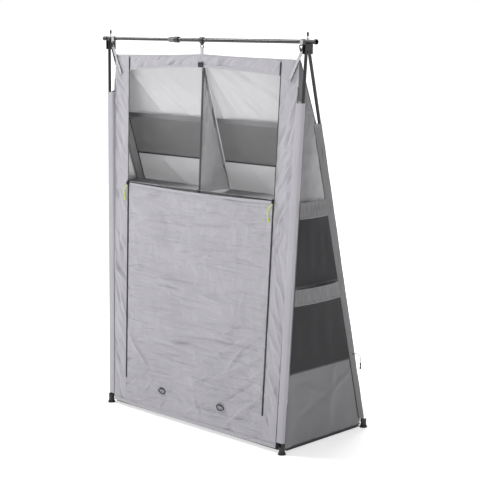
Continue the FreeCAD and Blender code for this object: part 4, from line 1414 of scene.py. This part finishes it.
deselect()
bpy.ops.mesh.primitive_cube_add(size=1)
stitch = bpy.context.object
stitch.name = "stitch_pattern"
stitch.scale = (3.0 * mm, 0.55 * mm, 0.45 * mm)
bpy.ops.object.transform_apply(location=False, rotation=False, scale=True)
bpy.ops.object.mode_set(mode="EDIT")
bpy.ops.mesh.bevel(offset=0.2 * mm, segments=1)
bpy.ops.object.mode_set(mode="OBJECT")
stitch_points = [v.co.copy() for v in stitch.data.vertices]
stitch_faces = [tuple(f.vertices) for f in stitch.data.polygons]
bpy.data.objects.remove(stitch)


stitch_pitch = 4.6 * mm


def stitch_row(name, path, length):
    """Stitches along path(t), t from 0 to 1, standing out on the front of the cloth."""
    up = Vector((0, -1, 0))
    count = max(2, round(length / stitch_pitch))
    points, faces = [], []
    for i in range(count):
        here, ahead = Vector(path((i + 0.5) / count)), Vector(path((i + 0.6) / count))
        along = (ahead - here).normalized()
        side = up.cross(along).normalized()
        base_index = len(points)
        points += [here + along * p.x + side * p.y + up * (p.z + 0.1 * mm) for p in stitch_points]
        faces += [tuple(base_index + k for k in face) for face in stitch_faces]
    mesh = bpy.data.meshes.new(name)
    mesh.from_pydata(points, [], faces)
    mesh.update()
    obj = bpy.data.objects.new(name, mesh)
    scene.collection.objects.link(obj)
    mesh.materials.append(FINISH["thread"])
    return obj


def strip(name, place, width, length, finish, grid=6 * mm, thickness=0.6 * mm):
    """A narrow sewn strip; place(u, v) as for a sheet."""
    obj = lay_sheet(name, place, width, length, finish, grid, sewn="")
    thicken(obj, thickness)
    return obj


def line(start, end, count):
    start, end = Vector(start), Vector(end)
    return [start.lerp(end, i / (count - 1)) for i in range(count)]


# %% [markdown]
# ## Zips
# A zip is two tapes with a coil of teeth on each. Below the slider the coils are closed together.
# Above it only the half that is sewn to the stile shows, and it is whole again beside the header.
# The coil is one small bevelled tooth, repeated by an Array along the zip's own slant.

# %% Zip tapes and teeth
tooth_pitch = 2.0 * mm


def zip_line(side, z, shift=0.0, depth=0.0):
    return Vector((SIDES[side] * (zip_x(z) + shift), panel_y(z) + depth, z))


def teeth_row(name, side, low, high, shift, depth):
    """A row of teeth from height low to high, shift outwards from the zip's middle."""
    start, end = zip_line(side, low, shift, depth), zip_line(side, high, shift, depth)
    count = int((end - start).length / tooth_pitch)
    deselect()
    bpy.ops.mesh.primitive_cube_add(size=1, location=start)
    row = bpy.context.object
    row.name = name
    row.scale = (2.7 * mm, 1.5 * mm, 1.25 * mm)
    bpy.ops.object.transform_apply(location=True, rotation=False, scale=True)
    bpy.ops.object.mode_set(mode="EDIT")
    bpy.ops.mesh.bevel(offset=0.35 * mm, segments=1)
    bpy.ops.object.mode_set(mode="OBJECT")
    array = row.modifiers.new("teeth", "ARRAY")
    array.use_relative_offset = False
    array.use_constant_offset = True
    array.constant_offset_displace = (end - start).normalized() * tooth_pitch
    array.count = count
    bpy.ops.object.modifier_apply(modifier="teeth")
    row.data.materials.append(FINISH["zip_teeth"])
    return row


def zip_strip(name, side, low, high, inner, outer, depth):
    def place(u, v):
        z = mix(low, high, v)
        return zip_line(side, z, mix(inner, outer, u), depth)
    return strip(name, place, abs(outer - inner), high - low, "zip_black", 8 * mm, 0.5 * mm)


for side in SIDES:
    shut = zip_strip(f"zip_tape_closed_{side}", side, zip_low_z, door_top, -zip_half, zip_half, -0.5 * mm)
    open_half = zip_strip(f"zip_tape_open_{side}", side, door_top, header_low.z, 1.2 * mm, zip_half, 0.6 * mm)
    top = zip_strip(f"zip_tape_top_{side}", side, header_low.z, ridge_z - 9 * mm, -zip_half, zip_half,
                    -0.6 * mm)
    rows = [teeth_row(f"zip_teeth_a_{side}", side, zip_low_z, door_top, 0.7 * mm, -1.2 * mm),
            teeth_row(f"zip_teeth_b_{side}", side, zip_low_z + tooth_pitch / 2, door_top, -0.7 * mm,
                      -1.2 * mm),
            teeth_row(f"zip_teeth_open_{side}", side, door_top, header_low.z, 0.9 * mm, 0.2 * mm),
            teeth_row(f"zip_teeth_top_{side}", side, header_low.z, ridge_z - 10 * mm, 0.0, -1.2 * mm)]
    for obj in (shut, open_half, top, *rows):
        dress(obj, "front_frame", "zip_black", f"zip_{side}")
    flap_edge = zip_strip(f"zip_tape_flap_{side}", side, flap_low, door_top - 8 * mm, -zip_half - 1 * mm,
                          -1.6 * mm, 4.2 * mm)
    dress(flap_edge, "door_flap", "zip_black")

# %% [markdown]
# ## Seams, piping and hems
# Dark piping closes the corner between stile and sleeve, and a dark bead along the seam between
# side and rear is painted shadow. The stitching below each zip, the hems of header, door and base,
# and the binding of the pockets are what a maker sews last.

# %% Front seams
for side, sign in SIDES.items():
    corner_high = sleeve_high.z + 60 * mm
    path = [(sign * (stile_outer(z) + 0.2 * mm), panel_y(z) - 0.2 * mm, z)
            for z in (mix(hem_z + 26 * mm, corner_high, i / 40) for i in range(41))]
    piping = bead(f"corner_piping_{side}", path, 1.4 * mm, "binding", taper=(0.4, 1.0))
    dress(piping, "front_frame", "tape_dark")
    low_path = lambda t, sign=sign: (sign * zip_x(zip_low_z), panel_y(mix(hem_z, zip_low_z, t)) - 0.2 * mm,
                                     mix(hem_z + 3 * mm, zip_low_z - 3 * mm, t))
    dress(stitch_row(f"zip_end_stitches_{side}", low_path, zip_low_z - hem_z), "front_frame", "front_fabric")
    for gap, label in ((5.5 * mm, "inner"), (-5.5 * mm, "outer")):
        def beside(t, sign=sign, gap=gap):
            z = mix(zip_low_z, door_top - 12 * mm if gap > 0 else header_low.z, t)
            return sign * (zip_x(z) - gap), panel_y(z) - 0.1 * mm, z
        reach = (door_top if gap > 0 else header_low.z) - zip_low_z
        body = "door" if gap > 0 else "front_frame"
        dress(stitch_row(f"zip_stitches_{label}_{side}", beside, reach), body, "front_fabric")


def header_hem_place(u, v):
    x = (2 * u - 1) * (zip_x(header_low.z) - zip_gap)
    z = header_hem(x) + v * 12 * mm
    pucker = 0.5 * mm * math.sin(2 * math.pi * u * 92) * math.sin(math.pi * v)
    return x, panel_y(z) - 0.1 * mm - pucker, z


header_band = strip("header_hem", header_hem_place, header_wide, 12 * mm, "front_fabric", 3 * mm, 0.8 * mm)
dress(header_band, "front_frame", "front_fabric")


def header_stitch_path(t):
    x = (2 * t - 1) * (zip_x(header_low.z) - zip_gap)
    z = header_hem(x) + 11 * mm
    return x, panel_y(z) - 0.6 * mm, z


dress(stitch_row("header_hem_stitches", header_stitch_path, header_wide), "front_frame", "front_fabric")


def door_fold_place(u, v):
    side = 2 * v - 1
    slack = 1 - side * side
    z = door_top - 10 * mm - door_sag * slack
    wave = 0.9 * mm * noise.noise(Vector((v * 22, u, 5)))
    if u < 0.6:
        share = u / 0.6
        behind, rise = -3.2 * mm * slack ** 0.3 + 3.6 * mm * share, 9.6 * mm * share
    else:
        share = (u - 0.6) / 0.4
        behind, rise = (0.4 + 3.2 * share) * mm, (9.6 - 2.4 * share * share) * mm
    return side * (zip_x(door_top) - zip_gap), panel_y(z) + behind + wave, z + rise


door_fold = strip("door_fold", door_fold_place, 14 * mm, door_wide, "front_fabric", 2 * mm, 0.5 * mm)
dress(door_fold, "door", "front_fabric")


def base_hem_place(u, v):
    x = (2 * u - 1) * (stile_outer(hem_z) - 2 * mm)
    z = hem_z + v * 16 * mm
    sag = 2.7 * mm * max(0.0, 1 - (x / base_half) ** 2) ** 0.5
    pucker = 0.5 * mm * math.sin(2 * math.pi * u * 70) * math.sin(math.pi * v)
    return x, panel_y(z) - 0.2 * mm - pucker, z - sag - 0.5 * mm


base_hem = strip("base_hem", base_hem_place, 2 * stile_x(hem_z), 16 * mm, "front_fabric", 4 * mm, 0.8 * mm)
dress(base_hem, "front_frame", "front_fabric")

# %% [markdown]
# ### Side and rear seams
# Dark binding covers the pockets' feet and the rear corners. A dark bead down each side's rear
# seam and a dark strip along each side's foot are painted shadow.
# Each strip follows the rule of the cloth under it, a little proud of it, so that they never part.

# %% Side and rear seams
edge_tall = 7 * mm
for side, sign in SIDES.items():
    # A dark bead down the seam between side and rear sleeve: painted shadow of that seam.
    seam_path = [(sign * (leg_x(z) + side_out + 1.2 * mm), side_rear(z) - 0.4 * mm, z)
                 for z in (mix(hem_z + 30 * mm, rear_sleeve_high.z - 4 * mm, i / 40) for i in range(41))]
    rear_edge = bead(f"side_rear_painted_shadow_{side}", seam_path, 1.7 * mm, "binding", taper=(1.0, 0.5))
    dress(rear_edge, "front_frame", "tape_dark")
    fold_flat(rear_edge)

    # A dark strip along the foot of each side: painted shadow line.
    def foot_place(u, v, sign=sign):
        z = hem_z + v * 5 * mm
        return sign * (leg_x(z) + side_out + 0.9 * mm), mix(side_front(z), side_rear(z), u), z
    binding = strip(f"side_foot_painted_shadow_{side}", foot_place, side_rear(hem_z) - side_front(hem_z), 5 * mm,
                    "tape_dark")
    dress(binding, "front_frame", "tape_dark")
    fold_flat(binding)
    for level, (low, high) in pocket_spans.items():
        for label, z0, finish in (("foot", low, "tape_dark"),
                                  ("mouth", high - band_tall - 3 * mm, "side_fabric")):
            rule = pocket_place(side, low, high, z0, z0 + edge_tall, False)

            def proud(u, v, rule=rule, sign=sign):
                x, y, z = rule(u, v)
                return x + sign * 1.2 * mm, y, z
            piece = strip(f"pocket_{label}_{level}_{side}", proud, 0.3, edge_tall, finish, 8 * mm)
            dress(piece, "front_frame", finish)
            fold_flat(piece)

    def rear_foot(u, v, side=side):
        x, y, z = rear_pocket_place(side, pocket_low, pocket_low + 6 * mm)(u, v)
        return x, y - 0.9 * mm, z
    foot = strip(f"rear_net_foot_{side}", rear_foot, 0.5, 6 * mm, "tape_dark", 9 * mm)
    dress(foot, "rear_frame", "tape_dark")
    fold_pocket(foot)
    seam_path = [(sign * (rear_half(z) - 2 * mm), back_y(z) - 1.5 * mm, z)
                 for z in (mix(52 * mm, back_high.z - 8 * mm, i / 40) for i in range(41))]
    dress(bead(f"rear_corner_seam_{side}", seam_path, 2.2 * mm, "binding"), "rear_frame", "tape_dark")

# %% [markdown]
# ### Corner linings
# Cloth lines each rear corner inside, or the dark back of the sleeve would show there. Its colour
# is much lighter than the rear cloth: painted light on a corner that lies in shade. It is one strip
# that turns the corner, so that no seam is needed.

# %% Corner linings
for side, sign in SIDES.items():
    def lining_place(u, v, sign=sign):
        z = mix(52 * mm, rear_sleeve_high.z, v)
        inner, front = leg_x(z) - sleeve_half - 1.2 * mm, side_rear(z) - 1.2 * mm
        if u < 0.3:
            x = mix(leg_x(z) + side_out - 1 * mm, inner, u / 0.3)
            return sign * x, mix(front, front + 3 * mm, u / 0.3), z
        return sign * inner, mix(front + 3 * mm, back_y(z) - 0.6 * mm, (u - 0.3) / 0.7), z
    lining = strip(f"corner_lining_{side}", lining_place, 70 * mm, 1.27, "lining_painted_light", 9 * mm)
    dress(lining, "rear_frame", "rear_fabric")
    fold_sleeve(lining)

# %% [markdown]
# ### Divider tape and shelf hem
# A dark tape is folded round the divider's free edge and ends in a knot at its foot. The shelf
# ends in a soft rolled hem, with a thin dark bead under it as painted shadow.

# %% Divider tape and shelf hem
knot_z = 990 * mm


def divider_tape_place(u, v):
    z = mix(divider_low.z, header_hem(0) + 2 * mm, v)
    turn = math.pi * (0.12 + 0.76 * u)
    return 6.2 * mm * -math.cos(turn), panel_y(z) + inside_front + 1.4 * mm * (1 - math.sin(turn)), z


divider_edge = strip("divider_binding", divider_tape_place, 13 * mm, 0.51, "tape_dark", 4 * mm)
divider_foot = bead("divider_foot_knot", [(-6 * mm, panel_y(knot_z) + 7 * mm, knot_z - 0.5 * mm),
                                          (0, panel_y(knot_z) + 6.4 * mm, knot_z + 1.5 * mm),
                                          (7 * mm, panel_y(knot_z) + 7 * mm, knot_z - 1 * mm)],
                    4.4 * mm, "binding")


def shelf_hem_place(u, v):
    x = (2 * u - 1) * (leg_x(shelf_z) - 36 * mm)
    drop = 0.009 * math.sin(math.pi * u) ** 0.8 * math.sin(math.pi * 0.03) ** 0.8 * v
    wave = 0.6 * mm * noise.noise(Vector((u * 26, 2, 9)))
    depth = v * 12 * mm
    rise = shelf_curl(depth) + 1.6 * mm * math.sin(math.pi * min(1.0, v * 1.4)) + 0.9 * mm
    return x, panel_y(shelf_z) + 4.8 * mm + depth, shelf_z + rise - drop + wave


shelf_hem = strip("shelf_hem", shelf_hem_place, 2 * leg_x(shelf_z), 11 * mm, "front_fabric", 6 * mm)
# A dark bead under the hem's front edge: painted shadow of the gap beneath it.
shelf_line = [(mix(-0.24, 0.395, i / 40), panel_y(shelf_z) + 3.8 * mm, shelf_z + shelf_curl(0) - 1.6 * mm
               + 0.5 * mm * math.sin(i * 1.7)) for i in range(41)]
shelf_painted_shadow_line = bead("shelf_painted_shadow_line", shelf_line, 1.5 * mm, "binding", taper=(0.4, 1.0))


def divider_rear_place(u, v):
    z = mix(divider_low.z, divider_high.z, v)
    return 1.1 * mm, back_y(z) - 16 * mm + u * 14 * mm, z


divider_back = strip("divider_rear_seam", divider_rear_place, 14 * mm, 0.53, "rear_fabric", 8 * mm)
dress(divider_edge, "front_frame", "tape_dark", "divider_tape")
dress(divider_foot, "front_frame", "tape_dark")
dress(shelf_hem, "front_frame", "front_fabric")
dress(shelf_painted_shadow_line, "front_frame", "tape_dark")
dress(divider_back, "front_frame", "rear_fabric")
for obj in (divider_edge, divider_foot, shelf_hem, shelf_painted_shadow_line, divider_back):
    fold_flat(obj)

# %% [markdown]
# ## Header tab
# A plain dark tab is sewn on the header over the divider. It is a cube primitive that is bevelled
# all round, and its front face is inset twice for the stitched border.

# %% Header tab
tab_low, tab_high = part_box("header_tab")
deselect()
bpy.ops.mesh.primitive_cube_add(size=1, location=(tab_low + tab_high) / 2)
tab = bpy.context.object
tab.name = "header_patch"
tab.scale = tab_high - tab_low
bpy.ops.object.transform_apply(location=True, rotation=False, scale=True)
bpy.ops.object.mode_set(mode="EDIT")
bpy.ops.mesh.bevel(offset=0.7 * mm, segments=3)
bpy.ops.mesh.select_all(action="DESELECT")
bm = bmesh.from_edit_mesh(tab.data)
bm.faces.ensure_lookup_table()
front_face = min(bm.faces, key=lambda f: f.calc_center_median().y - f.calc_area() * 1000)
front_face.select = True
bmesh.update_edit_mesh(tab.data)
bpy.ops.mesh.inset(thickness=1.6 * mm)
bpy.ops.mesh.inset(thickness=0.5 * mm, depth=-0.3 * mm)
bpy.ops.object.mode_set(mode="OBJECT")
tab.data.materials.append(FINISH["binding"])
dress(tab, "front_frame", "tape_dark", "header_tab")

# %% [markdown]
# ## Door ties
# Two elastic loops with toggles lie on the base panel, ready to hold the rolled door. The loop is
# a closed bead. The toggle is a bevelled cylinder, cut across in edit mode and drawn in between.

# %% Door ties
tie_low, tie_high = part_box("door_ties")
tie_x, tie_z = tie_high.x - 22 * mm, (tie_low.z + tie_high.z - 3.4 * mm) / 2


def tie_point(sign, turn, wide, tall, lift):
    z = tie_z + tall * math.sin(turn)
    droop = 3 * mm * math.sin(2 * turn + sign)
    return sign * tie_x + wide * math.cos(turn) + droop, panel_y(z) - lift - 1.2 * mm * abs(math.sin(turn)), z


for side, sign in SIDES.items():
    loop_path = [tie_point(sign, 2 * math.pi * i / 36, 20 * mm, 10.5 * mm, 2.2 * mm) for i in range(36)]
    loop = bead(f"tie_loop_{side}", loop_path, 2.1 * mm, "binding", closed=True)
    deselect()
    top = tie_z + 11 * mm
    bpy.ops.mesh.primitive_cylinder_add(vertices=20, radius=3.2 * mm, depth=25 * mm,
                                        location=(sign * tie_x, panel_y(top) - 4.4 * mm, top),
                                        rotation=(0, math.pi / 2, 0))
    toggle = bpy.context.object
    toggle.name = f"tie_toggle_{side}"
    bpy.ops.object.transform_apply(location=True, rotation=True, scale=True)
    bpy.ops.object.mode_set(mode="EDIT")
    bpy.ops.mesh.bevel(offset=0.9 * mm, segments=3)
    bm = bmesh.from_edit_mesh(toggle.data)
    cut_centre = sign * tie_x
    for offset in (-3 * mm, 3 * mm, 0.0):
        cut_round(bm, (cut_centre + offset, 0, 0), (1, 0, 0))
    axis_y, axis_z = panel_y(top) - 4.4 * mm, top
    for vertex in bm.verts:
        if abs(vertex.co.x - cut_centre) < 0.1 * mm:
            vertex.co.y = axis_y + (vertex.co.y - axis_y) * 0.62
            vertex.co.z = axis_z + (vertex.co.z - axis_z) * 0.62
    bmesh.update_edit_mesh(toggle.data)
    bpy.ops.object.mode_set(mode="OBJECT")
    toggle.data.materials.append(FINISH["plastic_black"])
    bpy.ops.object.shade_smooth_by_angle(angle=math.radians(40))
    dress(loop, "front_frame", "tape_dark", "door_ties")
    dress(toggle, "front_frame", "plastic_black", "door_ties")

# %% [markdown]
# ## Straps and buckles
# Flat webbing is laid as a narrow sheet that follows a path: round the rail, down through the
# buckle and on to the fabric's corner. The triangular buckles are round rods along a triangle
# with soft corners.

# %% Webbing paths
def follow(points, t):
    """The point at share t of the length of a path of straight runs."""
    runs = [(b - a).length for a, b in zip(points, points[1:])]
    want = t * sum(runs)
    for a, b, run in zip(points, points[1:], runs):
        if want <= run or b is points[-1]:
            return a.lerp(b, min(1.0, want / run))
        want -= run


def webbing(name, points, width, across, finish="webbing", thickness=1.2 * mm):
    points = [Vector(p) for p in points]
    length = run_of(points)

    def place(u, v):
        return follow(points, v) + Vector(across) * (u - 0.5) * width
    obj = lay_sheet(name, place, width, length, finish, 2.5 * mm, sewn="")
    thicken(obj, thickness)
    return obj


strap_width = 15 * mm
rail_z = (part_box("rail_outer_tube")[0].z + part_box("rail_outer_tube")[1].z) / 2
rail_radii = {"left": 6.5 * mm, "right": 8 * mm}
strap_x = (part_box("strap_buckles")[0].x + 11 * mm) * -1
buckle_low, buckle_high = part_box("strap_buckles")
foot_x, foot_z = 491 * mm, 1452 * mm
for side, sign in SIDES.items():
    reach = rail_radii[side] + 1.1 * mm
    x = sign * strap_x
    loop_path = [(x, apex_y + 3 * mm, rail_z - reach - 3 * mm)]
    loop_path += [(x, apex_y + reach * math.cos(a), rail_z + reach * math.sin(a))
                  for a in (math.radians(d) for d in range(-40, 181, 20))]
    # Round the buckle's upper side, in mm from its top.
    turns = [(0, 1.5), (-2.2, -1), (-1.8, -4.6), (1.6, -5.2), (2.6, -1), (1.2, 6)]
    loop_path += [(x, apex_y - reach + dy * mm, buckle_high.z + dz * mm) for dy, dz in turns]
    hanger = webbing(f"rail_webbing_{side}", loop_path, strap_width, (1, 0, 0))
    pin_x = sign * (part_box("apex_pins")[1].x - 4.8 * mm)
    top = rail_z + reach + 0.8 * mm
    tab_path = [(x - sign * 7 * mm, apex_y, top), (mix(x, pin_x, 0.5), apex_y, top + 1.6 * mm),
                (pin_x + sign * 7 * mm, apex_y, top + 0.4 * mm)]
    pin_tab = webbing(f"pin_webbing_{side}", tab_path, strap_width, (0, 1, 0))
    dress(hanger, "front_frame", "webbing", "anchor_webbing")
    dress(pin_tab, "front_frame", "webbing")

    start_z = buckle_low.z + 3.5 * mm
    fold_out = panel_y(ridge_z) - 2.2 * mm
    path = [(x, apex_y - reach + 1 * mm, start_z + 9 * mm), (x, apex_y - reach + 0.4 * mm, start_z)]
    steps = 16
    for i in range(1, steps + 1):
        z = mix(start_z, foot_z, i / steps)
        px = sign * mix(strap_x, foot_x, (start_z - z) / (start_z - foot_z))
        path.append((px, panel_y(z) - 2.4 * mm - 0.8 * mm * math.sin(9 * i), z))
    slant = (Vector(path[-1]) - Vector(path[1])).normalized()
    strap = webbing(f"corner_strap_{side}", path, strap_width, slant.cross(Vector((0, -1, 0))).normalized())
    # A thin dark strip beside each strap: painted shadow of its raised edge.
    shade = webbing(f"corner_strap_painted_shadow_{side}", [(p[0] + 7.4 * mm, p[1] - 0.9 * mm, p[2]) for p in path[6:]],
                    3 * mm, slant.cross(Vector((0, -1, 0))).normalized(), "tape_dark", 0.8 * mm)
    tack = bead(f"bar_tack_{side}", line((path[-1][0] - 7 * mm, path[-1][1] - 1.2 * mm, foot_z + 4 * mm),
                                         (path[-1][0] + 7 * mm, path[-1][1] - 1.2 * mm, foot_z + 4 * mm), 5),
                1.1 * mm, "thread")
    dress(strap, "front_frame", "webbing", "corner_straps")
    dress(shade, "front_frame", "tape_dark")
    dress(tack, "front_frame", "webbing")

    half = 9.4 * mm
    wide_z, narrow_z = buckle_high.z - 1.9 * mm, buckle_low.z + 2.1 * mm
    corners = [Vector((x + out, 0, z)) for out, z in ((-half, wide_z), (half, wide_z), (3.2 * mm, narrow_z),
                                                      (-3.2 * mm, narrow_z))]
    ring_path = []
    for i, corner in enumerate(corners):
        before, after = corners[i - 1], corners[(i + 1) % 4]
        a = corner + (before - corner).normalized() * 3 * mm
        b = corner + (after - corner).normalized() * 3 * mm
        if (after - corner).length < 6 * mm or (before - corner).length < 6 * mm:
            a, b = corner.lerp(before, 0.4), corner.lerp(after, 0.4)
        ring_path += [a.lerp(corner, t).lerp(corner.lerp(b, t), t) for t in (0, 0.25, 0.5, 0.75, 1)]
    tall = buckle_high.z - buckle_low.z
    ring_path = [(p.x, apex_y - reach - mix(4.4 * mm, 0.8 * mm, (p.z - buckle_low.z) / tall), p.z)
                 for p in ring_path]
    buckle = bead(f"triangle_buckle_{side}", ring_path, 2.1 * mm, "plastic_black", closed=True, smooth=3)
    dress(buckle, "front_frame", "plastic_black", "strap_buckles")

# %% [markdown]
# ## Middle ring and strap
# The ring that hangs from the middle clip is a torus primitive, flattened to an oval. A loop of
# webbing passes through it and is sewn to the ridge.

# %% Middle ring and strap
ring_low, ring_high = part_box("centre_ring")
ring_mid = (ring_low + ring_high) / 2
deselect()
bpy.ops.mesh.primitive_torus_add(location=ring_mid, rotation=(math.pi / 2, 0, 0), major_radius=9.2 * mm,
                                 minor_radius=2.1 * mm, major_segments=40, minor_segments=12)
ring = bpy.context.object
ring.name = "middle_ring"
ring.scale = (1.0, 0.62, 1.0)
bpy.ops.object.transform_apply(location=True, rotation=True, scale=True)
ring.data.materials.append(FINISH["plastic_black"])
bpy.ops.object.shade_smooth()
dress(ring, "front_frame", "plastic_black", "centre_ring")
loop_bottom = ring_low.z + 3.0 * mm
loop_path = [(0, apex_y - 1.2 * mm, ridge_z + ridge_rise)]
loop_path += [(0, apex_y + 2.4 * mm * -math.cos(a), loop_bottom + 2.4 * mm * math.sin(a))
              for a in (math.radians(d) for d in range(0, 181, 30))]
loop_path += [(0, apex_y + 1.2 * mm, ridge_z + ridge_rise)]
middle_strap = webbing("middle_strap", loop_path, 14 * mm, (1, 0, 0))
dress(middle_strap, "front_frame", "webbing", "centre_strap")

# %% [markdown]
# ## Sizes
# The box round all the visible pieces is printed at the end.

# %% Print the size
low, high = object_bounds()
print("visual box", [round(c, 3) for c in (*low, *high)])
